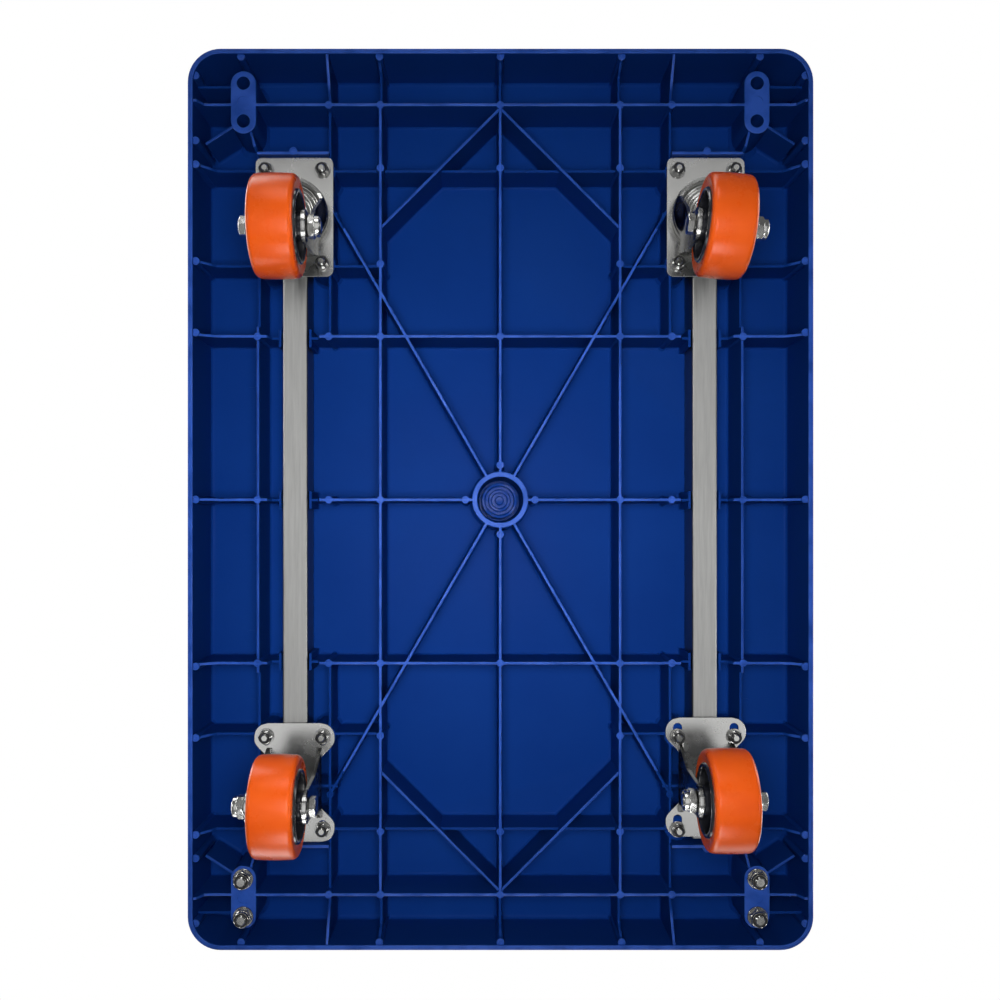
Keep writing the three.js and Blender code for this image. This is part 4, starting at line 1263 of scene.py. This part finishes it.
# %% Bent legs
def bent_leg(inner, top, axle_y, front, back, thick=2.5, flare=0.0):
    """A sheet that runs level at the top and bends down at x = inner, cut to the leg's side view. A flare of
    radius R carries its upper part out to a circle: x grows by w s, where w is the smooth maximum of 0 and
    d = sqrt(R^2 - y^2) - outer, w = (d + sqrt(d^2 + 2)) / 2, and s eases from 0 to 1 over 17 of height."""
    bend, outer = 4.5, inner + thick
    heights = np.concatenate([np.linspace(top - bend, top - 22, 15), [20]])
    u = np.clip((heights - top + 21.6) / 17, 0, 1)
    ease = u * u * (3 - 2 * u)
    sections = []
    for y in np.linspace(-60, 60, 121):
        d = math.sqrt(max(flare * flare - y * y, 0)) - outer
        swell = (d + math.sqrt(d * d + 2)) / 2 if flare else 0.0
        cx, cz = outer + swell - bend, top - bend
        x = np.concatenate([[outer - 10], arc(cx, cz, bend, 90, 0, 7)[:-1, 0], outer + swell * ease,
                            (inner + swell * ease)[::-1], arc(cx, cz, bend - thick, 0, 90, 6)[1:, 0],
                            [outer - 10]])
        z = np.concatenate([[top], arc(cx, cz, bend, 90, 0, 7)[:-1, 1], heights, heights[::-1],
                            arc(cx, cz, bend - thick, 0, 90, 6)[1:, 1], [top - thick]])
        sections.append(np.column_stack([x, np.full(len(x), y), z]))
    side_view = sheet_x(leg_outline(axle_y, front, back, top + 3), 0, 40, 0.1)
    dimple = moved(along_x(lathe([(11, -0.1), (11, 0.35), (10.4, 0.7), (5, 0.7)], 40)), outer, axle_y, AXLE_Z)
    leg = join(combined(loft(sections), [side_view], "INTERSECT"), dimple)
    return cut(leg, moved(along_x(hole(5.3, 0, 0, 0, 40)), 0, axle_y, AXLE_Z))


print("points of a bent leg:", len(bent_leg(19.5, 109.7, 0, 29, -29)[0]))

# %% [markdown]
# Pressing rounds every cut edge a little, and that edge draws a thin bright line. The forms could
# carry it themselves, but after cutting, a Bevel modifier finds all the sharp edges at once.

# %% Softened edges
def bevelled(thing, width=0.35):
    """A small rounding on the sharp edges of a pressing, placed before its weighted normals."""
    bevel = thing.modifiers.new("edge", "BEVEL")
    bevel.width = width * MM
    bevel.segments = 2
    bevel.limit_method = "ANGLE"
    bevel.angle_limit = math.radians(50)
    thing.modifiers.move(len(thing.modifiers) - 1, 0)
    return thing


print("edge rounding in metres:", 0.35 * MM)

# %% [markdown]
# The fork turns under its plate. Its crown has ring ridges that stiffen the sheet, a lip rolled up
# round the balls, and a skirt turned down at the front. A plain disc could stand in, but the ridges
# and the lip's edge are what the light picks out.

# %% Swivel fork
FORK_AXLE_Y = -28


def fork_form():
    """Crown with ring ridges z = 97.1 - 1.8 sin^2 and a rolled upper lip, a skirt that turns down round
    the front and runs into the two bent legs, and a straight tail."""
    r = np.linspace(9.5, 24.5, 31)
    under = np.column_stack([r, 97.1 - 1.8 * np.sin(np.pi * (r - 9.5) / 5) ** 2])
    lip = [(26.4, 97.4), (27.5, 98.2), (28, 99.6), (28, 103.8), (27.7, 104.4), (27.1, 104.6), (26.4, 104.4),
           (26.1, 103.8), (26, 100.6), (25.3, 99.8), (24, 99.6), (5.4, 99.6)]
    crown = np.concatenate([[(5.4, 97.1)], under, lip])
    skirt = lathe([(28, 99.5), (27.9, 97), (27.2, 92), (25.6, 84), (24, 76), (21.8, 76), (23.3, 84), (24.8,
                                                                                                      92),
                   (25.2, 96), (24.2, 97.3), (24, 99.5)], 96, ring=True)
    front = sheet_x([(29.5, 101), (29.5, 91.6), (22, 91.2), (14, 90.6), (9.5, 89.6), (9.5, 101)], -40, 40,
                    0.1)
    skirt = combined(skirt, [front], "INTERSECT")
    leg = bent_leg(18.5, 99.6, FORK_AXLE_Y, 19, -33.5, flare=28)
    tail = prism([(-17.5, -33.5), (17.5, -33.5), (17.5, -8), (-17.5, -8)], 97.1, 99.6, 0.3)
    fork = join(lathe(crown, 80, ring=True), skirt, leg, mirrored_x(leg), tail)
    return cut(fork, hole(5.4, 0, 0, 90, 110, 40))


print("the fork's axle is behind its kingpin by:", -FORK_AXLE_Y)

# %% [markdown]
# The plate is bolted to the deck through four slots, and its middle is pressed down into the upper
# race of the bearing. The race could be a ring of its own, but it is one pressing, so it is joined to
# the plate.

# %% Swivel plate
def swivel_plate_form():
    """A flat plate with four slots, and the upper race pressed down from it round the kingpin."""
    low, high = seat_low[2] + 3.0, seat_high[2]
    race = lathe([(13, 108), (13.4, 104.9), (14.2, 104.2), (22.4, 104.2), (23.6, 104.7), (24.3, 105.8),
                  (25.6, 106.9), (28, 107.25), (28, 108)], 72, ring=True)
    slots = [prism(slot_outline(7, 10, sx * BOLT_X, sy * BOLT_Y), 100, 112, 0.1) for sx, sy in QUARTERS]
    plate = join(prism(rounded_rectangle(62, 95, 5.5), low, high, 0.35), race)
    return cut(plate, *slots, hole(8.8, 0, 0, 100, 112, 40))


print("plate height:", seat_low[2], seat_high[2])

# %% [markdown]
# The rigid caster is one pressing: a plate with four round ears, waisted between them, and two legs.
# The outline could be drawn point by point, but an easing curve between the ears gives the same
# smooth waist.

# %% Rigid bracket
def rigid_bracket_form():
    """Half width x = 19 + 13 s of the plate, with s easing from 0 at y = 16 to 1 at y = 34 between the
    round ears, and two bent legs."""
    y = np.linspace(-47.5, 47.5, 77)
    s = np.clip((np.abs(y) - 15) / 19, 0, 1)
    ears = 21 + np.sqrt(np.maximum(121 - np.maximum(np.abs(y) - 36.5, 0) ** 2, 0))
    x = np.minimum(19 + 13 * s * s * (3 - 2 * s), ears)
    outline = np.concatenate([np.column_stack([x, y]), np.column_stack([-x, y])[::-1]])
    slots = [prism(slot_outline(7.2, 13.5, sx * BOLT_X, sy * 36.5), 100, 112, 0.1) for sx, sy in QUARTERS]
    leg = bent_leg(19.5, 109.7, 0, 29, -29)
    return cut(join(prism(outline, 107.2, 109.7, 0.35), leg, mirrored_x(leg)), *slots)


print("bracket height:", rigid_bracket_form()[0][:, 2].min(), rigid_bracket_form()[0][:, 2].max())

# %% [markdown]
# A riveted pin holds the fork to its plate, and twenty-four balls run between them. The balls are
# hardly seen, and a ring could stand in for them, but they show in the gap when the caster is seen
# from the side.

# %% Kingpin and balls
kingpin = lathe([(1, 92.6), (3.2, 92.75), (5.6, 93.3), (7.2, 94.2), (7.9, 95.3), (8, 96.3), (7.7, 96.7), (5,
                                                                                                          96.8),
                 (5, 107.4), (8, 107.4), (8.2, 107.7), (8.2, 109.2), (7.9, 109.5), (1, 109.5)], 40)
ball_angles = np.linspace(0, 2 * np.pi, 24, endpoint=False)
polar = np.radians(np.linspace(-80, 80, 9))
ball = lathe(np.column_stack([2.1 * np.cos(polar), 2.1 * np.sin(polar)]), 16)
balls = together(*[moved(ball, 20.5 * math.cos(a), 20.5 * math.sin(a), 101.85) for a in ball_angles])
print("balls:", len(ball_angles))

# %% [markdown]
# The axle is a long bolt through both legs and the hub, with a lock nut. It could be one form, but
# the bolt, the nut and its nylon ring are separate nodes or finishes, so three forms are made.

# %% Axles
def axle_forms(leg_outer):
    """An axle bolt with its head at +X, and its lock nut at -X, as three forms along X."""
    seat = leg_outer + 1.0
    bolt = together(hexagon(13.5, seat, seat + 5.5), lathe([(5, -leg_outer + 1), (5, seat)], 32),
                    thread(5, 1.5, -leg_outer - 11, -leg_outer + 1, 32))
    return along_x(bolt), along_x(flipped(nut_m10, -seat)), along_x(flipped(nylon_m10, -seat))


print("points of an axle bolt:", len(axle_forms(21.0)[0][0]))

# %% [markdown]
# Each side has a swivel caster in front and a rigid one at the rear. One of the swivel casters stands
# a few degrees out of line, as a real cart's casters do. Each piece could be placed by hand, but the
# plates' boxes in the skeleton give the places.

# %% Put the casters together
fork, swivel_plate, rigid_bracket = fork_form(), swivel_plate_form(), rigid_bracket_form()
for side_name, side in SIDES.items():
    centre = middle(f"swivel_plate_{side_name}")
    swivel = f"swivel_{side_name}"
    turn = math.radians(4.4) if side < 0 else 0.0

    def set_down(form, turn=turn, centre=centre):
        return moved(turned_z(form, turn), centre[0], centre[1])

    bevelled(piece(f"swivel_plate_{side_name}_pressing", moved(swivel_plate, centre[0], centre[1]),
                   caster_steel, "deck", [f"swivel_plate_{side_name}"]))
    piece(f"kingpin_{side_name}_rivet", moved(kingpin, centre[0], centre[1]), fastener_steel, "deck",
          [f"kingpin_{side_name}"])
    piece(f"ball_ring_{side_name}_balls", set_down(balls), spring_steel, swivel, [f"ball_ring_{side_name}"])
    bevelled(piece(f"fork_{side_name}_pressing", set_down(fork), caster_steel, swivel, [f"fork_{side_name}"]))
    rigid_centre = middle(f"rigid_bracket_{side_name}")
    bevelled(piece(f"rigid_bracket_{side_name}_pressing", moved(rigid_bracket, rigid_centre[0],
                                                                rigid_centre[1]),
                   caster_steel, "deck", [f"rigid_bracket_{side_name}"]))
    for end_name, leg_outer, holder in (("front", 21.0, swivel), ("rear", 22.0, "deck")):
        if end_name == "front":
            def at_axle(form, set_down=set_down):
                return set_down(moved(form, 0, FORK_AXLE_Y, AXLE_Z))
        else:
            def at_axle(form, rigid_centre=rigid_centre):
                return moved(mirrored_x(form), rigid_centre[0], rigid_centre[1], AXLE_Z)
        label = f"{end_name}_{side_name}"
        bolt, nut, nylon = axle_forms(leg_outer)
        cast = piece(f"tyre_{label}_cast", at_axle(tyre), tyre_orange, f"wheel_{label}", [f"tyre_{label}"])
        cast.visible_glossy = False
        piece(f"hub_{label}_moulding", at_axle(hub), hub_black, f"wheel_{label}", [f"wheel_hub_{label}"])
        piece(f"axle_bolt_{label}_set", at_axle(bolt), fastener_steel, holder, [f"axle_bolt_{label}"],
              weighted=False)
        piece(f"axle_nut_{label}_hex", at_axle(nut), fastener_steel, holder, [f"axle_nut_{label}"],
              weighted=False)
        piece(f"axle_nut_{label}_nylon", at_axle(nylon), nylon_insert, holder, weighted=False)
print("casters done")

# %% [markdown]
# ## Handle
# The handle is one bent tube with a welded crossbar and a ribbed rubber grip. A curve object with a bevel
# could make the tubes, but these have to be cut and joined, so a pipe is a ring carried along a path.

# %% Pipes
def pipe(path, radius, steps=16, across=(0, 1, 0), ring=False):
    """p + r (n cos a + b sin a) along the path, with b = t x across and n = b x t."""
    path = np.asarray(path, float)
    tangent = np.roll(path, -1, 0) - np.roll(path, 1, 0) if ring else np.gradient(path, axis=0)
    side_way = np.cross(tangent, across)
    side_way /= np.linalg.norm(side_way, axis=1, keepdims=True)
    normal = np.cross(side_way, tangent)
    normal /= np.linalg.norm(normal, axis=1, keepdims=True)
    a = np.linspace(0, 2 * np.pi, steps, endpoint=False)
    circle = normal[:, None] * np.cos(a)[:, None] + side_way[:, None] * np.sin(a)[:, None]
    return loft(path[:, None] + radius * circle, ring=ring)


print("points of a short pipe:", len(pipe([(0, 0, 0), (0, 0, 5), (0, 0, 10)], 2)[0]))

# %% [markdown]
# The tube goes up from one hinge, bends twice, and comes down to the other. Its ends are open and
# drilled for the pivot bolts. It is drawn about its own pivot, which could be anywhere, and is stood
# up later.

# %% Handle tube
HALF, BEND, UP, TAIL, PIVOT_Y, PIVOT_Z = 203.5, 60, 650, 15, -315, 177
corner = arc(HALF - BEND, UP - BEND, BEND, 0, 90, 20)
upright = np.column_stack([np.full(8, HALF), np.linspace(0, UP - BEND - 8, 8)])
right_half = np.concatenate([[(HALF, -TAIL), (HALF, -TAIL + 0.8)], upright, corner, [(HALF - BEND - 8, UP),
                                                                                     (0, UP)]])
outline_xz = np.concatenate([right_half, right_half[::-1][1:] * [-1, 1]])
handle_path = np.column_stack([outline_xz[:, 0], 0 * outline_xz[:, 0], outline_xz[:, 1]])
ends = [hole(11.3, side * HALF, 0, -40, 40, 40) for side in (-1, 1)]
pins = [moved(along_x(hole(4.4, 0, 0, -20, 20)), side * HALF) for side in (-1, 1)]
tube = cut(pipe(handle_path, 12.5, 40), *ends, *pins)
print("points of the tube:", len(tube[0]))

# %% [markdown]
# The crossbar is cut to the tube's round side and welded. The weld could be left out, but a bare
# joint looks pushed in. It is a bead laid along the curve where the two tubes meet, with a slight
# ripple.

# %% Crossbar and welds
def on_handle(form):
    """From the handle's own axes, with the pivot at the origin, to its upright place, with a lean of 1.5
    degrees."""
    return moved(tilted_x(form, math.radians(1.5)), 0, PIVOT_Y, PIVOT_Z)


around = np.linspace(0, 2 * np.pi, 72, endpoint=False)
bead_y, bead_z = 10.2 * np.cos(around), 150 + 10.2 * np.sin(around)
bead_x = HALF - np.sqrt(12.5 ** 2 - bead_y ** 2) - 0.6
beads = [pipe(np.column_stack([side * (bead_x - 0.25 * np.sin(18 * around)), bead_y, bead_z]), 1.7, 10, (1,
                                                                                                         0,
                                                                                                         0),
              ring=True) for side in (-1, 1)]
bar = moved(along_x(lathe([(10, -HALF), (10, HALF)], 48)), 0, 0, 150)
crossbar = cut(join(bar, *beads), *[hole(12.55, side * HALF, 0, 120, 180, 64) for side in (-1, 1)])
print("points of the crossbar:", len(crossbar[0]))

# %% [markdown]
# The grip is a rubber sleeve with ribs and a flange at each end. The ribs could be bump, but they
# stand against the sky in every view, so they are in the turned profile.

# %% Grip
x = np.arange(-104, 104.01, 0.8)
ribbed = np.column_stack([15.2 + 0.8 * np.abs(np.cos(np.pi * x / 8)) ** 0.6, x])
flange = np.array([(12.8, -110), (15.6, -110), (16.6, -109.4), (17, -108), (16.6, -106.4), (15.4, -105.2)])
grip = along_x(lathe(np.concatenate([flange, ribbed, flange[::-1] * [1, -1]]), 56, ring=True))
print("points of the grip:", len(grip[0]))

# %% [markdown]
# The three handle pieces ride the handle's body, so that they fold together. The grip and the
# crossbar could be parented to the tube, but each replaces its own node of the skeleton.

# %% Put the handle on
piece("handle_tube_bent", on_handle(tube), handle_steel, "handle", ["handle_tube"])
piece("handle_crossbar_welded", on_handle(crossbar), handle_steel, "handle", ["handle_crossbar"])
piece("handle_grip_ribbed", on_handle(moved(grip, z=UP)), grip_black, "handle", ["handle_grip"],
      weighted=False)
print("handle height:", PIVOT_Z + UP)

# %% [markdown]
# ## Hinges, latch and pedal
# Each hinge bracket is a U of sheet, cut to a side view that has one round ear for the pivot and one for
# the latch bar. It could be three plates, but the U's round bends are where it meets the deck.

# %% Hinge bracket
deck_top = DECK_TOP_Z + 0.3
half_u, sheet = 15.7, 2.5
u_section = np.concatenate([[(-half_u, 200)], arc(-half_u + 4, deck_top + 4, 4, 180, 270, 7),
                            arc(half_u - 4, deck_top + 4, 4, 270, 360, 7), [(half_u, 200), (half_u - sheet,
                                                                                            200)],
                            arc(half_u - 4, deck_top + 4, 4 - sheet, 0, -90, 6),
                            arc(-half_u + 4, deck_top + 4, 4 - sheet, 270, 180, 6), [(-half_u + sheet, 200)]])
PEDAL_Y, PEDAL_Z = -343, 165
ear = np.concatenate([[(-287, deck_top - 1)], arc(-290, 157, 3, 0, 40, 5), arc(PIVOT_Y, PIVOT_Z, 13, 30,
                                                                               115, 18),
                      arc(PEDAL_Y, PEDAL_Z, 7.5, 115, 190, 10), [(-349, deck_top - 1)]])
hinge = combined(along_y(prism(u_section, -349, -287, 0.1)), [sheet_x(ear, -20, 20, 0.1)], "INTERSECT")
web = sheet_x([(-301.4, 158.2), (-298.8, 158.2), (-298.8, 163.4), (-301.4, 163.4)], -14.5, 14.5, 0.3)
bore = moved(along_x(hole(4.4, 0, 0, -30, 30)), 0, PIVOT_Y, PIVOT_Z)
rod_bore = moved(along_x(hole(4.4, 0, 0, -30, 30)), 0, PEDAL_Y, PEDAL_Z)
hinge = cut(join(hinge, web), bore, rod_bore, hole(4.4, 0, -330, 140, 155), hole(4.4, 0, -300, 140, 155))
print("points of a hinge:", len(hinge[0]))

# %% [markdown]
# A bolt through each bracket carries the handle, and a torsion spring beside it turns the latch back.
# The spring could be a stack of rings, but its two straight arms need a true helix to leave from.

# %% Pivot bolt and spring
pivot_bolt = together(hexagon(13, 16, 21.3), lathe([(4, -20), (4, 16)], 28), thread(4, 1.25, -24, -20, 28),
                      flipped(nut_m8, -16))
helix = np.linspace(0, 2 * np.pi * 6.75, 200)
coil = np.column_stack([173 + 13 * helix / helix[-1], 5.6 * np.cos(helix), 5.6 * np.sin(helix)])
down = np.column_stack([np.full(6, 173.0), np.full(6, 5.6), np.linspace(-9, -0.8, 6)])
out = np.column_stack([np.full(6, 186.0), np.linspace(0.8, 9, 6), np.full(6, -5.6)])
spring = pipe(np.concatenate([down, coil, out]), 0.85, 10, (1, 0, 0))
print("points of a spring:", len(spring[0]))

# %% [markdown]
# Left and right hinges are mirror images, down to the side on which the nut sits. A negative scale
# could mirror them, but it turns faces inside out, so the forms are mirrored instead.

# %% Put the hinges on
for side_name, side in SIDES.items():
    bevelled(piece(f"hinge_bracket_{side_name}_pressing", moved(hinge, side * HALF), hinge_steel, "deck",
                   [f"hinge_bracket_{side_name}"]))
    parts = [along_x(pivot_bolt), along_x(flipped(nylon_m8, -16)), spring]
    parts = [mirrored_x(part) if side < 0 else part for part in parts]
    piece(f"pivot_bolt_{side_name}_set", moved(parts[0], side * HALF, PIVOT_Y, PIVOT_Z), fastener_steel,
          "deck",
          [f"pivot_bolt_{side_name}"], weighted=False)
    piece(f"pivot_bolt_{side_name}_nylon", moved(parts[1], side * HALF, PIVOT_Y, PIVOT_Z), nylon_insert,
          "deck",
          weighted=False)
    piece(f"pedal_spring_{side_name}_coil", moved(parts[2], 0, PEDAL_Y, PEDAL_Z), spring_steel, "deck",
          [f"pedal_spring_{side_name}"], weighted=False)
print("hinge brackets:", len(SIDES))

# %% [markdown]
# The latch bar is a rod across the cart with two noses that lock the handle, held by a clip at each
# end. It could be a plain rod, but the grooves and clips are what keep it from sliding out.

# %% Latch bar
rod = along_x(lathe([(3.2, -224), (4, -223.2), (4, -221.4), (3.3, -221.4), (3.3, -220.4), (4, -220.4),
                     (4, 220.4), (3.3, 220.4), (3.3, 221.4), (4, 221.4), (4, 223.2), (3.2, 224)], 28))
clip = along_x(lathe([(3.4, 220.5), (6, 220.5), (6.2, 220.7), (6.2, 221.1), (6, 221.3), (3.4, 221.3)], 28,
                     ring=True))
aim = np.array([PIVOT_Y - PEDAL_Y, PIVOT_Z - PEDAL_Z]) / math.hypot(PIVOT_Y - PEDAL_Y, PIVOT_Z - PEDAL_Z)
aside = np.array([-aim[1], aim[0]])
nose = [np.array([PEDAL_Y, PEDAL_Z]) + along * aim + across * aside
        for along, across in ((0, -3.6), (9.1, -1.8), (9.5, -1.3), (9.5, 1.3), (9.1, 1.8), (0, 3.6))]
noses = [sheet_x(nose, side * HALF - 7, side * HALF + 7, 0.5) for side in (-1, 1)]
latch = join(moved(rod, 0, PEDAL_Y, PEDAL_Z), *noses)
clips = [moved(form, 0, PEDAL_Y, PEDAL_Z) for form in (clip, mirrored_x(clip))]
piece("latch_bar_rod", together(latch, *clips), fastener_steel, "latch", ["latch_bar"])
print("points of the latch:", len(latch[0]))

# %% [markdown]
# The foot pedal is a moulded tread plate on a sleeve round the bar. Its treads could be bump, but
# they show at its edge, so they are teeth in its side view.

# %% Foot pedal
tooth = [(0, 168.2), (0.7, 169.2), (2.2, 169.2), (2.9, 168.2)]
treads = [(y + dy, z) for y in np.arange(-334, -306, 4.0) for dy, z in tooth]
pad = [(-338, 166), (-304, 166), (-303, 165), (-303, 161.6), (-302.4, 161), (-300.6, 161), (-300, 161.6),
       (-300, 167.6), (-301.4, 169)] + treads[::-1] + [(-338, 168.2)]
sleeve = lathe([(4.3, -45), (6.4, -45), (7, -44.4), (7, 44.4), (6.4, 45), (4.3, 45)], 40, ring=True)
sleeve = moved(along_x(sleeve), 0, PEDAL_Y, PEDAL_Z)
bore = moved(along_x(hole(4.3, 0, 0, -50, 50)), 0, PEDAL_Y, PEDAL_Z)
pedal = cut(join(sleeve, sheet_x(pad, -45, 45, 0.8)), bore)
piece("foot_pedal_treaded", pedal, grip_black, "latch", ["foot_pedal"])

# %% [markdown]
# ## Floor, light and camera
# A product stands on a pale sweep with a soft shadow. The camera looks straight up at the underside from
# below the floor's level, so a plain floor would hide the cart. This one is seen only from above: its
# other side is transparent, and it takes no part in the light that reaches the underside.

# %% Floor finish
def floor_material():
    """Pale and mostly self-lit, darkened by ambient occlusion near the cart, white far away, and clear
    from below: the face's back side picks the transparent shader."""
    material = bpy.data.materials.new("studio_floor")
    material.use_nodes = True
    nodes, link = material.node_tree.nodes, material.node_tree.links.new
    shader = nodes["Principled BSDF"]
    shader.inputs["Base Color"].default_value = (0.22, 0.22, 0.22, 1)
    shader.inputs["Roughness"].default_value = 0.9
    shader.inputs["Specular IOR Level"].default_value = 0.1
    shelter = nodes.new("ShaderNodeAmbientOcclusion")
    shelter.inputs["Distance"].default_value = 0.35
    shelter.samples = 8
    shader.inputs["Emission Color"].default_value = (0.86, 0.86, 0.87, 1)
    open_sky = nodes.new("ShaderNodeMapRange")
    open_sky.inputs["To Min"].default_value = 0.30
    open_sky.inputs["To Max"].default_value = 0.80
    link(shelter.outputs["AO"], open_sky.inputs["Value"])
    link(open_sky.outputs["Result"], shader.inputs["Emission Strength"])
    far = nodes.new("ShaderNodeEmission")
    place = nodes.new("ShaderNodeTexCoord")
    distance = nodes.new("ShaderNodeVectorMath")
    distance.operation = "LENGTH"
    link(place.outputs["Object"], distance.inputs[0])
    fade = nodes.new("ShaderNodeMapRange")
    fade.interpolation_type = "SMOOTHSTEP"
    fade.inputs["From Min"].default_value = 0.7
    fade.inputs["From Max"].default_value = 2.6
    link(distance.outputs["Value"], fade.inputs["Value"])
    ground = nodes.new("ShaderNodeMixShader")
    link(fade.outputs["Result"], ground.inputs["Fac"])
    link(shader.outputs["BSDF"], ground.inputs[1])
    link(far.outputs["Emission"], ground.inputs[2])
    side = nodes.new("ShaderNodeNewGeometry")
    clear = nodes.new("ShaderNodeBsdfTransparent")
    mix = nodes.new("ShaderNodeMixShader")
    link(side.outputs["Backfacing"], mix.inputs["Fac"])
    link(ground.outputs["Shader"], mix.inputs[1])
    link(clear.outputs["BSDF"], mix.inputs[2])
    link(mix.outputs["Shader"], nodes["Material Output"].inputs["Surface"])
    return material


# %% [markdown]
# The floor is one large square at the wheels' level. A curved backdrop could close the horizon, but
# the floor's finish fades to the surroundings' own white, so no edge shows.

# %% Floor
floor_mesh = bpy.data.meshes.new("floor")
reach = 6.0
floor_mesh.from_pydata([(-reach, -reach, 0), (reach, -reach, 0), (reach, reach, 0), (-reach, reach, 0)], [],
                       [(0, 1, 2, 3)])
floor_mesh.materials.append(floor_material())
floor = bpy.data.objects.new("floor", floor_mesh)
scene.collection.objects.link(floor)
floor.visible_diffuse = False
floor.visible_glossy = False
floor.visible_transmission = False
floor.visible_shadow = False
print("floor reach:", reach)

# %% [markdown]
# The surroundings are white to the camera, and nearly dark to reflections and soft light. One even
# white could do it all, but then plated steel would be flat grey, with no dark lines in it.

# %% Surroundings
world = bpy.data.worlds.new("studio")
scene.world = world
world.use_nodes = True
world_nodes, world_link = world.node_tree.nodes, world.node_tree.links.new
backdrop = world_nodes["Background"]
backdrop.inputs["Color"].default_value = (1, 1, 1, 1)
rays = world_nodes.new("ShaderNodeLightPath")
soft = world_nodes.new("ShaderNodeMapRange")
soft.inputs["To Min"].default_value = 0.03
soft.inputs["To Max"].default_value = 0.10
world_link(rays.outputs["Is Glossy Ray"], soft.inputs["Value"])
strength = world_nodes.new("ShaderNodeMapRange")
strength.inputs["To Max"].default_value = 1.0
world_link(rays.outputs["Is Camera Ray"], strength.inputs["Value"])
world_link(soft.outputs["Result"], strength.inputs["To Min"])
world_link(strength.outputs["Result"], backdrop.inputs["Strength"])
print("backdrop:", backdrop.name)

# %% [markdown]
# A studio uses softboxes, and a square area lamp is one. Each can be left out of soft light or of
# reflections, so that a lamp which only draws a highlight doesn't also brighten the deck.

# %% Softbox
def softbox(name, place, target, size, watts, diffuse=True, glossy=True):
    """A square area lamp at a place, aimed at a target."""
    lamp = bpy.data.lights.new(name, "AREA")
    lamp.shape = "SQUARE"
    lamp.size = size
    lamp.energy = watts
    holder = bpy.data.objects.new(name, lamp)
    scene.collection.objects.link(holder)
    direction = np.array(target, float) - np.array(place, float)
    holder.location = place
    holder.rotation_euler = Vector(direction).to_track_quat("-Z", "Y").to_euler()
    holder.visible_camera = False
    holder.visible_diffuse = diffuse
    holder.visible_glossy = glossy
    return holder


print("lamps so far:", len(bpy.data.lights))

# %% [markdown]
# Below the cart, a small key lamp lights the ribs, and wide glow and glint lamps are there only to be
# reflected in plates and nuts. Above it are a key, a fill, side lamps, and cards for the handle to
# reflect.

# %% Lamps
key = softbox("key_below", (0.02, -0.02, -0.72), (0.02, -0.02, 0.1), 0.30, 1.8, glossy=False)
key.data.spread = math.radians(84)
softbox("glow_below", (0.0, 0.0, -1.35), (0, 0, 0.1), 1.5, 4.3, diffuse=False)
softbox("glint_rear", (0.0, -1.5, -0.75), (0, 0, 0.1), 0.7, 12, diffuse=False)
softbox("glint_front", (0.1, 1.5, -0.75), (0, 0, 0.1), 0.7, 6, diffuse=False)
softbox("glint_left", (1.3, 0.3, -0.8), (0, 0, 0.1), 0.4, 3, diffuse=False)
softbox("glint_right", (-1.3, -0.3, -0.8), (0, 0, 0.1), 0.4, 3, diffuse=False)
softbox("key_above", (-1.6, -1.3, 2.6), (0, 0, 0.3), 1.6, 90)
softbox("fill_above", (2.2, 1.0, 1.8), (0, 0, 0.3), 1.6, 45)
softbox("side_front", (1.2, 2.4, 0.55), (0, 0, 0.15), 1.1, 16)
softbox("side_left", (-2.4, 0.9, 0.55), (0, 0, 0.15), 1.1, 16)
softbox("side_rear", (0.6, -2.5, 0.55), (0, 0, 0.2), 1.1, 14)
softbox("card_left", (-2.6, 0.4, 1.5), (0, 0, 0.5), 2.2, 26, diffuse=False)
softbox("card_right", (2.6, -0.6, 1.4), (0, 0, 0.5), 2.2, 22, diffuse=False)
softbox("card_front", (0.4, 2.8, 1.5), (0, 0, 0.5), 2.2, 22, diffuse=False)
softbox("card_rear", (-0.5, -2.8, 1.5), (0, 0, 0.5), 2.2, 22, diffuse=False)
print("lamps:", len(bpy.data.lights))

# %% [markdown]
# The cart is seen square from below, with the deck's middle a little off the picture's middle. The
# camera could be turned to centre it, but a shift keeps the deck's edges parallel.

# %% Camera
camera_data = bpy.data.cameras.new("camera")
camera_data.sensor_width = 36
camera_data.lens = 37.13
camera_data.shift_x = 0.0245
camera_data.shift_y = 0.027
camera_data.clip_start = 0.01
camera = bpy.data.objects.new("camera", camera_data)
scene.collection.objects.link(camera)
camera.location = (0.0196, -0.0216, -0.715)
camera.rotation_euler = (0, math.pi, 0)
scene.camera = camera
scene.view_settings.view_transform = "Standard"
print("camera below the floor by:", -camera.location.z)
